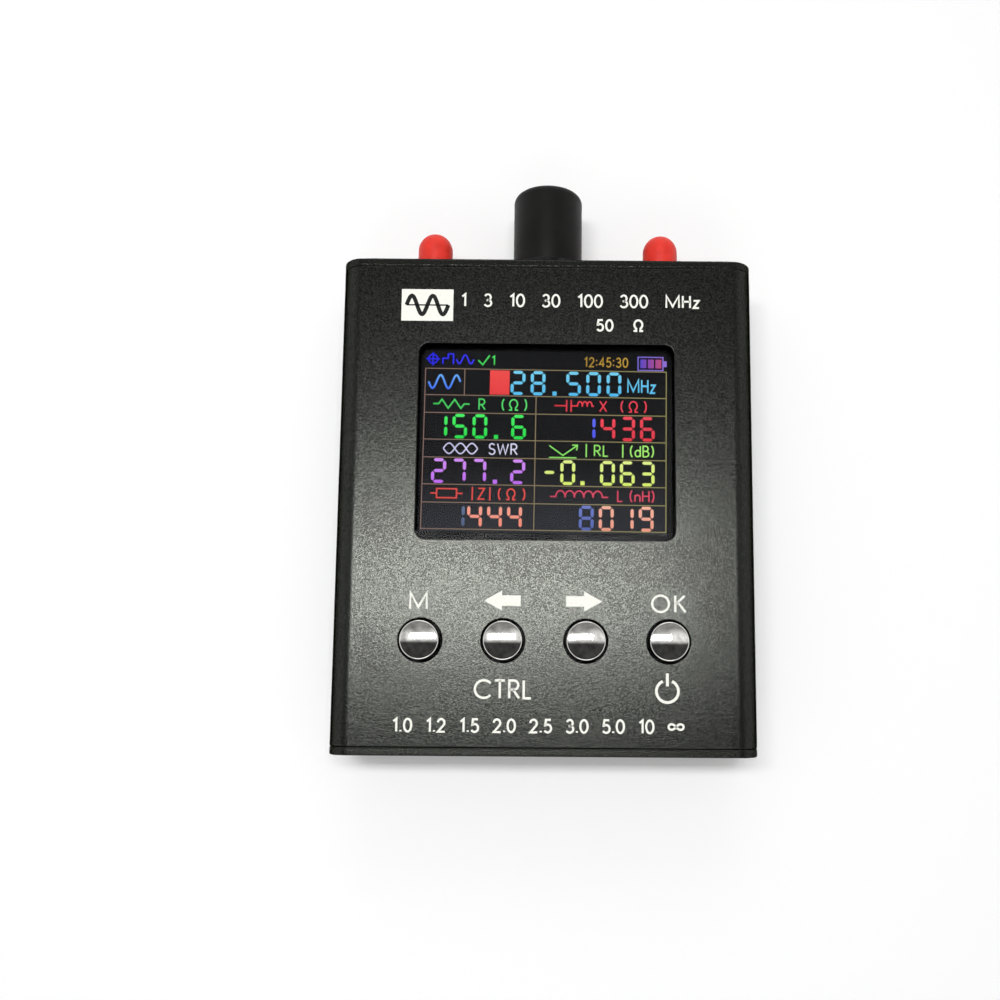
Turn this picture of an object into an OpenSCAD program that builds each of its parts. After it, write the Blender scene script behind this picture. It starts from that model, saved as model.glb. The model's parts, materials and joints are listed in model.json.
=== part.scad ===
// Hand-held antenna analyzer in a split extruded aluminium case.
// The case lies on its back: +Z comes out of the screen, +Y points to the
// connectors, and the origin is the middle of the rear face.

/* [Case] */
// Width of the case
body_w = 98; // [97:1:120]
// Length of the two extruded shells, without the end plates
body_l = 113; // [106:1:140]
// Thickness of the case, from the rear face to the front face
body_d = 27; // [25:0.5:36]
// Radius of the long outer corners
corner_r = 5; // [3:0.5:6]
// Thickness of the front and rear walls
face_wall = 2; // [1.5:0.1:2.4]
// Thickness of the side walls
side_wall = 2; // [1.6:0.1:2.6]
// Thickness of each end plate
plate_t = 2; // [1.6:0.1:3]
// Distance from a side wall's outer face to the axis of a screw port
port_inset_x = 5.2; // [5:0.1:6]
// Distance from the front or rear face to the axis of a screw port
port_inset_z = 5.4; // [5.2:0.1:6.4]
// Outer radius of a screw port
port_r = 3.4; // [3.2:0.1:3.6]
// Height of the lip that the front shell puts inside the rear shell
lip_h = 1.5; // [0.8:0.1:2.5]
// Thickness of that lip
lip_t = 0.9; // [0.6:0.1:1.2]
// Depth and half width of the groove along the seam
seam_groove = 0.35; // [0.2:0.05:0.6]

/* [End plate screws] */
// Diameter of a screw's shank
screw_d = 2.9; // [2.5:0.1:3]
// Diameter of a countersunk head
screw_head_d = 5.5; // [5:0.1:6]
// Height of the countersunk cone
screw_head_h = 1.5; // [1.2:0.1:1.6]
// Length of a screw
screw_l = 9; // [6:0.5:14]
// Width of the hexagon socket across its flats
screw_socket_af = 2; // [1.5:0.1:2.5]
// Depth of the hexagon socket
screw_socket_h = 0.9; // [0.6:0.1:1.2]
// Gap round a screw in its holes
screw_clear = 0.05; // [0.02:0.01:0.1]

/* [Screen] */
// Width of the opening in the front
window_w = 60.2; // [52:0.2:61]
// Height of the opening, along the case
window_h = 46.8; // [36:0.2:52]
// Radius of the opening's corners
window_r = 2.4; // [1:0.1:4]
// Place of the opening's middle, towards the connectors
window_y = 14.2; // [8:0.2:16]
// How far the clear lens reaches under the front, round the opening
lens_lap = 3; // [2:0.1:4]
// Thickness of the clear lens
lens_t = 0.8; // [0.5:0.1:1.2]
// Thickness of the adhesive tape between the front and the lens
tape_t = 0.2; // [0.1:0.05:0.5]
// How far the tape stays back from the opening's edge
tape_back = 0.4; // [0.2:0.1:1]
// Gap between the lens and the screen's glass
lens_gap = 0.3; // [0.2:0.05:0.5]
// Thickness of the screen's glass
lcd_glass_t = 1.2; // [0.8:0.1:1.6]
// How far the glass passes the opening at top, bottom and left
lcd_lap = 1.8; // [1:0.1:2.4]
// Gap between the ribbon and the screw port beside it
ribbon_gap = 1.6; // [0.6:0.1:2.4]
// Thickness of the backlight
backlight_t = 1.4; // [1:0.1:2]
// How far the backlight stays back from the glass's edge
backlight_back = 0.4; // [0.2:0.1:1]
// Wall of the frame that carries the screen on the board
lcd_frame_wall = 2; // [1.2:0.1:3]
// Width of the flat ribbon
ribbon_w = 22; // [12:1:30]
// Thickness of the flat ribbon
ribbon_t = 0.3; // [0.2:0.05:0.4]
// How far the ribbon stands out past the glass
ribbon_bulge = 2.3; // [2:0.1:2.6]
// Radius of the ribbon's two bends
ribbon_bend = 1.2; // [0.8:0.1:1.5]
// Depth of the ribbon's socket, across the case
ribbon_socket_w = 3; // [2:0.1:4]
// Gap between the panel's frame and the ribbon's socket
ribbon_socket_gap = 2; // [0.5:0.1:2.5]
// How far the ribbon's socket passes the ribbon at each side
ribbon_socket_lap = 1; // [0.5:0.1:2]
// Height of the ribbon's socket
ribbon_socket_h = 1.2; // [0.9:0.1:1.6]

/* [Buttons] */
// Distance between neighbouring buttons
button_pitch = 18.9; // [14:0.1:22]
// Place of the row of buttons, below the middle of the case
button_row = 32.5; // [28:0.1:36]
// Diameter of a button cap
button_d = 9; // [7.5:0.1:10]
// Gap between a cap and its hole in the front
button_gap = 0.5; // [0.3:0.05:0.8]
// How far a cap stands out of the front
button_proud = 2.5; // [1:0.1:4]
// How far a button goes in
button_travel = 0.3; // [0.2:0.05:0.5]
// Radius of the rounding round a cap's top
button_edge_r = 0.6; // [0.3:0.1:1]
// Radius of a cap's slightly domed top
button_dome_r = 24; // [12:1:60]
// Height of the switch's stem inside a cap
stem_in_cap = 2.5; // [1.5:0.1:3]
// Width of the switch's square stem
stem_w = 3.8; // [3:0.1:4.5]
// Width of a switch's square body
switch_w = 12; // [8:0.5:12]
// Height of a switch's body
switch_h = 4.2; // [3.4:0.1:4.4]
// Diameter of the round foot of a stem
foot_d = 6.6; // [5.5:0.1:7]
// Depth of the well that holds the foot
well_h = 2; // [1.4:0.1:2.4]
// Gap round a stem or its foot
stem_clear = 0.05; // [0.03:0.01:0.1]
// Gap that is left under a foot when its button is in
foot_rest = 0.1; // [0.05:0.05:0.2]
// How far a cap's skirt stays above the switch's body
skirt_gap = 2; // [1:0.1:2.4]

/* [Circuit board] */
// Thickness of the board
board_t = 1.6; // [1:0.1:2]
// Height of the board's underside above the connectors' axis
board_rise = 1.2; // [1:0.1:2]
// Gap between the board's long edges and the side walls
board_side_gap = 0.4; // [0.3:0.1:1]
// Gap between the board and each end plate at the connectors
board_end_gap = 4.5; // [4:0.1:6]
// Gap between the board and the bottom plate
board_bottom_gap = 2.5; // [1:0.1:4]
// How far the board's rails stand in from the side walls
rail_w = 1.8; // [1.2:0.1:2.4]
// Thickness of a rail
rail_t = 1; // [0.6:0.1:1.2]
// Gap between the board's faces and its rails
rail_clear = 0.05; // [0.03:0.01:0.15]
// Width of the processor's square package
processor_w = 14; // [7:1:18]
// Height of the processor's package
processor_h = 1.4; // [0.8:0.1:2]
// Place of the processor, to the left of the middle
processor_x = 12; // [9:1:16]
// Width of the synthesizer's square package
synth_w = 5; // [3:0.5:8]
// Height of the synthesizer's package
synth_h = 1; // [0.6:0.1:1.6]
// Place of the synthesizer and the crystal, to the right of the middle
synth_x = 12; // [8:1:18]
// Distance from the screen's middle line to the synthesizer
synth_y = 8; // [4:1:14]
// Distance from the screen's middle line to the crystal, the other way
crystal_y = 6; // [3:1:14]
// Length of the crystal's can
crystal_l = 11; // [6:0.5:12]
// Width of the crystal's can
crystal_w = 4.6; // [3:0.1:5]
// Height of the crystal's can
crystal_h = 3.4; // [1.5:0.1:3.6]
// Width of the shield can, across the case
shield_w = 30; // [20:1:36]
// Length of the shield can, along the case
shield_l = 20; // [12:1:24]
// Distance from the board's end to the shield can
shield_end = 5; // [3:0.5:8]
// Height of the shield can
shield_h = 3.2; // [2:0.1:3.4]
// Thickness of the shield can's sheet
shield_sheet = 0.3; // [0.2:0.05:0.5]

/* [Battery] */
// Width of the battery pack
battery_w = 50; // [30:1:60]
// Length of the battery pack
battery_l = 60; // [40:1:66]
// Thickness of the battery pack
battery_t = 7; // [4:0.5:8]
// Radius of the battery pack's upright edges
battery_r = 2; // [1:0.5:3]
// Thickness of the adhesive pad under the pack
battery_pad_t = 0.3; // [0.1:0.1:0.6]
// Distance from the bottom plate to the battery pack
battery_end = 9; // [4:0.5:14]
// Diameter of a battery lead
lead_d = 1.2; // [0.8:0.1:1.6]
// Distance between the two leads
lead_pitch = 2; // [1.8:0.1:3]
// Distance from the battery pack to the leads' rise to the board
lead_run = 5; // [4:0.5:8]
// Width of the battery's plug
battery_plug_w = 8; // [6:0.5:10]
// Length of the battery's plug
battery_plug_l = 7; // [5:0.5:8]
// Height of the battery's plug
battery_plug_h = 3.6; // [3:0.1:4]
// Place of the plug and its leads, to the right of the middle
battery_plug_x = 20; // [4:1:20]

/* [Charging socket] */
// Width of the socket's metal shell
usb_w = 7.7; // [7:0.1:9]
// Height of the socket's metal shell
usb_h = 3.9; // [2.6:0.1:4]
// Depth of the socket, along the case
usb_l = 9.2; // [6:0.1:11]
// Thickness of the shell's sheet
usb_sheet = 0.4; // [0.3:0.05:0.5]
// How far the tongue stays back from the socket's mouth
usb_tongue_back = 1.2; // [0.6:0.1:2]
// Width of the tongue in the socket
usb_tongue_w = 4.6; // [2:0.1:5]
// Thickness of the tongue in the socket
usb_tongue_t = 1; // [0.6:0.1:1.2]
// Gap round the socket in the bottom plate
usb_gap = 0.4; // [0.2:0.1:0.8]
// How far the socket's mouth lies inside the plate's face
usb_sink = 0.4; // [0:0.1:1]
// Place of the socket, to the right of the middle
usb_x = 14; // [8:1:18]
// Diameter of the charging light
led_d = 2.9; // [2:0.1:4]
// Length of the charging light's body
led_l = 4.4; // [3.8:0.1:6]
// Gap round the light in the bottom plate
led_gap = 0.1; // [0.05:0.05:0.3]
// Place of the charging light, to the right of the middle
led_x = 26; // [24:1:32]
// Distance from the light's body to the bend of its wires
led_run = 1.4; // [1:0.1:2]
// Thickness of the light's two wires
led_wire = 0.5; // [0.4:0.05:0.6]

/* [Large coaxial jack] */
// Diameter over the thread
large_thread_d = 15.8; // [15.2:0.1:16.4]
// How far the jack stands out of the connector plate
large_out = 19.5; // [16:0.5:24]
// Width of the nut across its flats
large_nut_af = 19; // [18.6:0.1:21]
// Thickness of the nut
large_nut_t = 2; // [1.6:0.1:3]
// Diameter of the flange behind the plate
large_flange_d = 20; // [19:0.5:22]
// Thickness of the flange behind the plate
large_flange_t = 2.5; // [1.5:0.1:3]
// Diameter of the jack's bore
large_bore_d = 8.2; // [7.6:0.1:9]
// Depth of the jack's bore, down to the insulator
large_bore_l = 9; // [6:0.5:12]
// Diameter of the centre contact
large_contact_d = 3; // [2.4:0.1:3.4]
// Diameter of the hole in the centre contact
large_socket_d = 1.6; // [1.2:0.1:1.8]
// How far the centre contact stands up from the insulator
large_contact_out = 4.3; // [2:0.1:5]

/* [Small coaxial jacks] */
// Distance from the large jack to each small jack
small_x = 28.3; // [18:0.1:33]
// Diameter over the thread
small_thread_d = 6.35; // [6:0.05:6.8]
// How far a small jack stands out of the connector plate
small_out = 7.9; // [6.5:0.1:12]
// Width of the nut across its flats
small_nut_af = 8; // [7.6:0.1:9]
// Thickness of the nut
small_nut_t = 2; // [1.4:0.1:2.4]
// Width of the square flange behind the plate
small_flange_w = 8; // [7.6:0.1:9]
// Thickness of the flange behind the plate
small_flange_t = 2; // [1.4:0.1:3]
// Diameter of the insulator
small_bore_d = 4.2; // [3.8:0.1:4.6]
// Depth from the jack's mouth to the insulator
small_bore_l = 1.9; // [1:0.1:3]
// Diameter of the centre contact
small_contact_d = 1.27; // [1:0.01:1.5]
// Diameter of the hole in the centre contact
small_socket_d = 0.9; // [0.7:0.05:0.95]
// How far the centre contact stands up from the insulator
small_contact_out = 1.5; // [0.5:0.1:1.8]

/* [Jack hardware] */
// Thickness of the washers under the nuts
washer_t = 0.5; // [0.3:0.05:0.8]
// How far a washer passes its nut's flats
washer_lap = 0.5; // [0.2:0.1:1]
// Gap round a jack in the plate, its washer and its nut
jack_clear = 0.1; // [0.05:0.01:0.2]
// Gap round the insulators and the centre contacts
insulator_gap = 0.05; // [0.02:0.01:0.1]
// How far the insulators stand out behind the flanges
insulator_back = 1; // [0.5:0.1:1.4]
// Length of the tabs that are soldered under the board
tab_l = 3; // [2:0.1:5]
// Width of those tabs
tab_w = 1; // [0.8:0.1:1.2]

/* [Dust caps] */
// Gap between a jack's thread and its dust cap
cap_clear = 0.07; // [0.03:0.01:0.1]
// Gap between a nut and the rim of its dust cap
cap_lift = 0.2; // [0.1:0.05:0.5]
// Wall of the large dust cap
large_cap_wall = 0.6; // [0.5:0.05:1.2]
// Thickness of the large dust cap's end
large_cap_end = 1.2; // [0.8:0.1:2]
// Space between the large jack and its dust cap's end
large_cap_air = 1.3; // [0.5:0.1:3]
// Radius of the rounding round the large dust cap's end
large_cap_edge_r = 1.9; // [0.8:0.1:2]
// Wall of the small dust caps
small_cap_wall = 1.05; // [0.6:0.05:1.4]
// Distance from a small jack's mouth back to the middle of its cap's dome
small_cap_set = 0.3; // [0.2:0.05:0.4]

/* [Hidden] */

// A small overlap that makes cuts run clean through
eps = 0.01;
// Facets of a full circle: above 12 a circle stays a true circle
$fn = 64;

// Heights of the case's parting plane and inner faces
split_z = body_d / 2;
front_in = body_d - face_wall;
inner_r = max(corner_r - side_wall, 0.5);
inner_x = body_w / 2 - side_wall;
plate_in = body_l / 2;
plate_out = plate_in + plate_t;

// The connectors share the case's middle plane
axis_z = split_z;

// Circuit board
board_z = axis_z + board_rise;
board_top = board_z + board_t;
board_x = inner_x - board_side_gap;
board_y0 = -plate_in + board_bottom_gap;
board_y1 = plate_in - board_end_gap;

// Screen, from the front wall down
lens_top = front_in - tape_t;
lcd_top = lens_top - lens_t - lens_gap;
lcd_back = lcd_top - lcd_glass_t;
backlight_back_z = lcd_back - backlight_t;
lens_w = window_w + 2 * lens_lap;
lens_h = window_h + 2 * lens_lap;
lcd_x0 = -window_w / 2 - lcd_lap;
port_edge_x = body_w / 2 - port_inset_x - port_r;
lcd_x1 = port_edge_x - ribbon_gap - ribbon_bulge;
lcd_w = lcd_x1 - lcd_x0;
lcd_h = window_h + 2 * lcd_lap;
lcd_mid_x = (lcd_x0 + lcd_x1) / 2;
ribbon_z = (lcd_back + lcd_top) / 2;
socket_slot_z = board_top + ribbon_socket_h / 2;
ribbon_drop_x = lcd_x1 + ribbon_bulge - ribbon_t / 2;
lcd_corner_r = 0.4;

// Buttons
button_x = [for (i = [0 : 3]) (i - 1.5) * button_pitch];
cap_top = body_d + button_proud;
switch_top = board_top + switch_h;
cap_bottom = switch_top + skirt_gap;
stem_top = cap_bottom + stem_in_cap;
foot_z = switch_top - well_h + button_travel + foot_rest;
foot_top = (switch_top + cap_bottom) / 2;

// Battery
battery_y0 = -plate_in + battery_end;
battery_y1 = battery_y0 + battery_l;
battery_z = face_wall + battery_pad_t;
lead_bend = lead_d;
lead_z0 = battery_z + battery_t / 2;
lead_z1 = board_z - battery_plug_h / 2;
lead_rise_y = battery_y1 + lead_run;
plug_y = lead_rise_y + 2 * lead_bend;

// Charging socket
usb_z = board_top + usb_h / 2;
usb_mouth = -plate_out + usb_sink;

// Jacks and dust caps
large_front = plate_out + large_out;
large_nut_top = plate_out + washer_t + large_nut_t;
small_front = plate_out + small_out;
small_nut_top = plate_out + washer_t + small_nut_t;
large_cap_in_r = large_thread_d / 2 + cap_clear;
large_cap_out_r = large_cap_in_r + large_cap_wall;
large_cap_rim = large_nut_top + cap_lift;
large_cap_inner_end = large_front + large_cap_air;
large_cap_top = large_cap_inner_end + large_cap_end;
small_cap_in_r = small_thread_d / 2 + cap_clear;
small_cap_out_r = small_cap_in_r + small_cap_wall;
small_cap_rim = small_nut_top + cap_lift;
small_dome_y = small_front - small_cap_set;

// ---- Shared shapes ----

// A rectangle with round corners, centred on the origin
module rounded_rect(w, h, r) {
    square([w - 2 * r, h], center = true);
    square([w, h - 2 * r], center = true);
    for (sx = [-1, 1], sy = [-1, 1])
        translate([sx * (w / 2 - r), sy * (h / 2 - r)]) circle(r = r);
}

// A round-cornered sheet whose underside lies at z
module sheet(w, h, r, z, t, x = 0, y = window_y) {
    translate([x, y, z]) linear_extrude(t) rounded_rect(w, h, r);
}

// A box with its lowest corner at p
module block(p, s) {
    translate(p) cube(s);
}

// Turns children that stand on Z so that they lie along Y, starting at y
module along_y(x, y, z) {
    translate([x, y, z]) rotate([-90, 0, 0]) children();
}

// Extrudes a section drawn in X and Z along the case, from y0 to y1
module extrusion(y0, y1) {
    translate([0, y1, 0]) rotate([90, 0, 0]) linear_extrude(y1 - y0) children();
}

// The four places of the end plate screws, in X and Z
module at_screws() {
    for (sx = [-1, 1], z = [port_inset_z, body_d - port_inset_z])
        translate([sx * (body_w / 2 - port_inset_x), z]) children();
}

// ---- Case ----

module case_outline() {
    translate([0, body_d / 2]) rounded_rect(body_w, body_d, corner_r);
}

// The material round one screw port, filled out into its corner
module port_block(sx, top) {
    x = body_w / 2 - port_inset_x;
    z = top ? body_d - port_inset_z : port_inset_z;
    translate([sx * x, z]) circle(r = port_r);
    translate([sx > 0 ? x : -body_w / 2, top ? z : 0])
        square([port_inset_x, port_inset_z]);
}

// Full section of the extrusion, with both halves still in one piece
module case_section() {
    difference() {
        union() {
            difference() {
                case_outline();
                translate([0, body_d / 2])
                    rounded_rect(2 * inner_x, body_d - 2 * face_wall, inner_r);
            }
            intersection() {
                case_outline();
                for (sx = [-1, 1], top = [true, false]) port_block(sx, top);
            }
        }
        at_screws() circle(d = screw_d + 2 * screw_clear);
        for (sx = [-1, 1])
            translate([sx * body_w / 2, split_z]) polygon([[0, seam_groove],
                [-sx * seam_groove, 0], [0, -seam_groove], [sx, 0]]);
    }
}

// Two rails on each side, which hold the board's long edges
module board_rails() {
    for (sx = [-1, 1], z = [board_z - rail_clear - rail_t, board_top + rail_clear])
        translate([sx > 0 ? inner_x - rail_w : -inner_x - eps, z])
            square([rail_w + eps, rail_t]);
}

// The lip inside each side wall; grow opens it up for the rebate
module lips(grow) {
    for (sx = [-1, 1])
        translate([sx > 0 ? inner_x - eps : -inner_x - lip_t - grow,
                   split_z - lip_h - grow])
            square([lip_t + grow + eps, lip_h + grow + eps]);
}

module front_shell() {
    color("#3a3b38") difference() {
        extrusion(-plate_in, plate_in) {
            intersection() {
                case_section();
                translate([-body_w, split_z]) square([2 * body_w, body_d]);
            }
            board_rails();
            lips(0);
        }
        sheet(window_w, window_h, window_r, front_in - eps, face_wall + 2 * eps);
        for (x = button_x)
            translate([x, -button_row, front_in - eps])
                cylinder(d = button_d + 2 * button_gap, h = face_wall + 2 * eps);
    }
}

module rear_shell() {
    color("#3a3b38") extrusion(-plate_in, plate_in) difference() {
        intersection() {
            case_section();
            translate([-body_w, -eps]) square([2 * body_w, split_z + eps]);
        }
        lips(screw_clear);
    }
}

// An end plate from y0, with countersinks that open towards side (1 or -1)
module end_plate(y0, side) {
    difference() {
        extrusion(y0, y0 + plate_t) case_outline();
        translate([0, y0 + (side > 0 ? 0 : plate_t), 0]) at_screws_3d(side) {
            translate([0, 0, -eps])
                cylinder(d = screw_d + 2 * screw_clear, h = plate_t + 2 * eps);
            translate([0, 0, plate_t - screw_head_h - screw_clear])
                cylinder(d1 = screw_d + 2 * screw_clear,
                         d2 = screw_head_d + 2 * screw_clear,
                         h = screw_head_h + screw_clear + eps);
        }
        children();
    }
}

// Screw axes in space: children stand on Z, which points out of the plate
module at_screws_3d(side) {
    for (sx = [-1, 1], z = [port_inset_z, body_d - port_inset_z])
        translate([sx * (body_w / 2 - port_inset_x), 0, z])
            rotate([side > 0 ? -90 : 90, 0, 0]) children();
}

module connector_plate() {
    color("#1d1d1d") end_plate(plate_in, 1) {
        along_y(0, plate_in - eps, axis_z)
            cylinder(d = large_thread_d + 2 * jack_clear, h = plate_t + 2 * eps);
        for (sx = [-1, 1])
            along_y(sx * small_x, plate_in - eps, axis_z)
                cylinder(d = small_thread_d + 2 * jack_clear, h = plate_t + 2 * eps);
    }
}

module bottom_plate() {
    color("#1d1d1d") end_plate(-plate_out, -1) {
        block([usb_x - usb_w / 2 - usb_gap, -plate_out - eps, usb_z - usb_h / 2 - usb_gap],
              [usb_w + 2 * usb_gap, plate_t + 2 * eps, usb_h + 2 * usb_gap]);
        along_y(led_x, -plate_out - eps, usb_z)
            cylinder(d = led_d + 2 * led_gap, h = plate_t + 2 * eps);
    }
}

module screw() {
    difference() {
        union() {
            translate([0, 0, -screw_l]) cylinder(d = screw_d, h = screw_l - screw_head_h + eps);
            translate([0, 0, -screw_head_h])
                cylinder(d1 = screw_d, d2 = screw_head_d, h = screw_head_h);
        }
        translate([0, 0, -screw_socket_h])
            cylinder(d = screw_socket_af / cos(30), h = screw_socket_h + eps, $fn = 6);
    }
}

module plate_screws(side) {
    color("#141414") translate([0, side * plate_out, 0]) at_screws_3d(side) screw();
}

// ---- Screen ----

module display_window() {
    color("#9aa4a8", 0.4) sheet(lens_w, lens_h, window_r, lens_top - lens_t, lens_t);
}

module window_tape() {
    color("#101010") difference() {
        sheet(lens_w, lens_h, window_r, lens_top, tape_t);
        sheet(window_w + 2 * tape_back, window_h + 2 * tape_back, window_r,
              lens_top - eps, tape_t + 2 * eps);
    }
}

module lcd_glass() {
    color("#0b0c10")
        sheet(lcd_w, lcd_h, lcd_corner_r, lcd_back, lcd_glass_t, lcd_mid_x);
}

module lcd_backlight() {
    color("#e8e8e4")
        sheet(lcd_w - 2 * backlight_back, lcd_h - 2 * backlight_back, lcd_corner_r,
              backlight_back_z, backlight_t, lcd_mid_x);
}

module lcd_frame() {
    h = backlight_back_z - board_top;
    x = lcd_x0 + backlight_back;
    w = lcd_x1 - ribbon_socket_w - ribbon_socket_gap - x;
    l = lcd_h - 2 * backlight_back;
    color("#2a2a2c") difference() {
        block([x, window_y - l / 2, board_top], [w, l, h]);
        block([x + lcd_frame_wall, window_y - l / 2 + lcd_frame_wall, board_top - eps],
              [w - 2 * lcd_frame_wall, l - 2 * lcd_frame_wall, h + 2 * eps]);
    }
}

// A quarter of the ribbon's bend about its own centre; up is 1 or -1
module ribbon_bend_section(up) {
    intersection() {
        difference() {
            circle(r = ribbon_bend + ribbon_t / 2);
            circle(r = ribbon_bend - ribbon_t / 2);
        }
        translate([0, up > 0 ? 0 : -2 * ribbon_bend]) square(2 * ribbon_bend);
    }
}

// The ribbon leaves the glass's edge, drops to the board and turns back into its socket
module lcd_ribbon() {
    bend_x = ribbon_drop_x - ribbon_bend;
    color("#b5772c") translate([0, window_y + ribbon_w / 2, 0]) rotate([90, 0, 0])
        linear_extrude(ribbon_w) {
            for (z = [socket_slot_z, ribbon_z])
                translate([lcd_x1, z - ribbon_t / 2]) square([bend_x - lcd_x1, ribbon_t]);
            translate([ribbon_drop_x - ribbon_t / 2, socket_slot_z + ribbon_bend])
                square([ribbon_t, ribbon_z - socket_slot_z - 2 * ribbon_bend]);
            translate([bend_x, ribbon_z - ribbon_bend]) ribbon_bend_section(1);
            translate([bend_x, socket_slot_z + ribbon_bend]) ribbon_bend_section(-1);
        }
}

module lcd_socket() {
    color("#e4dfd2") block([lcd_x1 - ribbon_socket_w,
                            window_y - ribbon_w / 2 - ribbon_socket_lap, board_top],
                           [ribbon_socket_w, ribbon_w + 2 * ribbon_socket_lap,
                            ribbon_socket_h]);
}

// ---- Circuit board ----

module main_board() {
    color("#1f5a34") block([-board_x, board_y0, board_z],
                           [2 * board_x, board_y1 - board_y0, board_t]);
}

// A square package on the board's top, with its middle at x, y
module chip(x, y, w, h) {
    block([x - w / 2, y - w / 2, board_top], [w, w, h]);
}

module processor_chip() {
    color("#1b1b1d") chip(-processor_x, window_y, processor_w, processor_h);
}

module synthesizer_chip() {
    color("#1b1b1d") chip(synth_x, window_y + synth_y, synth_w, synth_h);
}

module crystal_can() {
    color("#b9bcbf") sheet(crystal_l, crystal_w, crystal_w / 2 - eps, board_top, crystal_h,
                           synth_x, window_y - crystal_y);
}

// A pressed can on the board's underside, open to the board
module shield_can() {
    y1 = board_y1 - shield_end;
    color("#c4c7c9") difference() {
        block([-shield_w / 2, y1 - shield_l, board_z - shield_h],
              [shield_w, shield_l, shield_h]);
        block([-shield_w / 2 + shield_sheet, y1 - shield_l + shield_sheet,
               board_z - shield_h + shield_sheet],
              [shield_w - 2 * shield_sheet, shield_l - 2 * shield_sheet, shield_h]);
    }
}

// ---- Battery ----

module battery_pack() {
    color("#9aa7b4") sheet(battery_w, battery_l, battery_r, battery_z, battery_t,
                           0, (battery_y0 + battery_y1) / 2);
}

module battery_pad() {
    color("#f0f0ea") sheet(battery_w, battery_l, battery_r, face_wall, battery_pad_t,
                           0, (battery_y0 + battery_y1) / 2);
}

// A quarter bend of a lead in the Y and Z plane, about its own centre
module lead_elbow(turn) {
    rotate([turn, 0, 0]) rotate([0, 90, 0]) rotate_extrude(angle = 90)
        translate([lead_bend, 0]) circle(d = lead_d, $fn = 24);
}

// One lead: along from the pack, up, and along into the plug
module battery_lead(x) {
    translate([x, 0, 0]) {
        along_y(0, battery_y1, lead_z0)
            cylinder(d = lead_d, h = lead_run - lead_bend, $fn = 24);
        translate([0, lead_rise_y - lead_bend, lead_z0 + lead_bend]) lead_elbow(0);
        translate([0, lead_rise_y, lead_z0 + lead_bend])
            cylinder(d = lead_d, h = lead_z1 - lead_z0 - 2 * lead_bend, $fn = 24);
        translate([0, lead_rise_y + lead_bend, lead_z1 - lead_bend]) lead_elbow(180);
        along_y(0, lead_rise_y + lead_bend, lead_z1)
            cylinder(d = lead_d, h = plug_y - lead_rise_y - lead_bend, $fn = 24);
    }
}

module battery_leads() {
    color("#b3261e") for (side = [-1, 1])
        battery_lead(battery_plug_x + side * lead_pitch / 2);
}

module battery_plug() {
    color("#efece2") block([battery_plug_x - battery_plug_w / 2, plug_y, board_z - battery_plug_h],
                           [battery_plug_w, battery_plug_l, battery_plug_h]);
}

// ---- Charging socket and light ----

module usb_socket() {
    color("#c9ccce") difference() {
        block([usb_x - usb_w / 2, usb_mouth, board_top], [usb_w, usb_l, usb_h]);
        block([usb_x - usb_w / 2 + usb_sheet, usb_mouth - eps, board_top + usb_sheet],
              [usb_w - 2 * usb_sheet, usb_l - usb_sheet + eps, usb_h - 2 * usb_sheet]);
    }
}

module usb_tongue() {
    back = usb_mouth + usb_l - usb_sheet;
    front = usb_mouth + usb_tongue_back;
    color("#161616") block([usb_x - usb_tongue_w / 2, front, usb_z - usb_tongue_t / 2],
                           [usb_tongue_w, back - front, usb_tongue_t]);
}

module charge_led() {
    back = -plate_out + led_l;
    wire_y = back + led_run;
    color("#d9dcc8") {
        along_y(led_x, -plate_out + led_d / 2, usb_z) {
            sphere(d = led_d);
            cylinder(d = led_d, h = led_l - led_d / 2);
        }
        for (side = [-1, 1]) {
            x = led_x + side * led_d / 4 - led_wire / 2;
            block([x, back - eps, usb_z - led_wire / 2], [led_wire, wire_y - back + eps, led_wire]);
            block([x, wire_y - led_wire, board_top],
                  [led_wire, led_wire, usb_z - board_top + led_wire / 2]);
        }
    }
}

// ---- Buttons ----

// Half section of a cap: a domed top whose edge is rounded
module button_section() {
    r = button_d / 2;
    e = button_edge_r;
    shoulder = cap_top - button_dome_r + sqrt(pow(button_dome_r, 2) - pow(r - e, 2));
    intersection() {
        translate([0, cap_bottom]) square([r - e, cap_top - cap_bottom]);
        translate([0, cap_top - button_dome_r]) circle(r = button_dome_r, $fn = 200);
    }
    translate([0, cap_bottom]) square([r, shoulder - e - cap_bottom]);
    translate([r - e, shoulder - e]) circle(r = e);
}

module button_cap(i) {
    w = stem_w + 2 * stem_clear;
    color("#d4d8da") translate([button_x[i], -button_row, 0]) difference() {
        rotate_extrude() button_section();
        block([-w / 2, -w / 2, cap_bottom - eps], [w, w, stem_in_cap + eps]);
    }
}

module button_stem(i) {
    color("#26221f") translate([button_x[i], -button_row, 0]) {
        translate([0, 0, foot_z]) cylinder(d = foot_d, h = foot_top - foot_z);
        block([-stem_w / 2, -stem_w / 2, foot_top - eps],
              [stem_w, stem_w, stem_top - foot_top + eps]);
    }
}

module switch_body(i) {
    color("#1f1f21") translate([button_x[i], -button_row, 0]) difference() {
        block([-switch_w / 2, -switch_w / 2, board_top], [switch_w, switch_w, switch_h]);
        translate([0, 0, switch_top - well_h])
            cylinder(d = foot_d + 2 * stem_clear, h = well_h + eps);
    }
}

// ---- Jacks ----

// A hexagon nut on the connector plate, with its outer corners turned off
module jack_nut(x, af, thread_d, t) {
    along_y(x, plate_out + washer_t, axis_z) difference() {
        intersection() {
            cylinder(d = af / cos(30), h = t, $fn = 6);
            cylinder(r1 = af / 2 + t * tan(60), r2 = af / 2, h = t);
        }
        translate([0, 0, -eps]) cylinder(d = thread_d + 2 * jack_clear, h = t + 2 * eps);
    }
}

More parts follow.
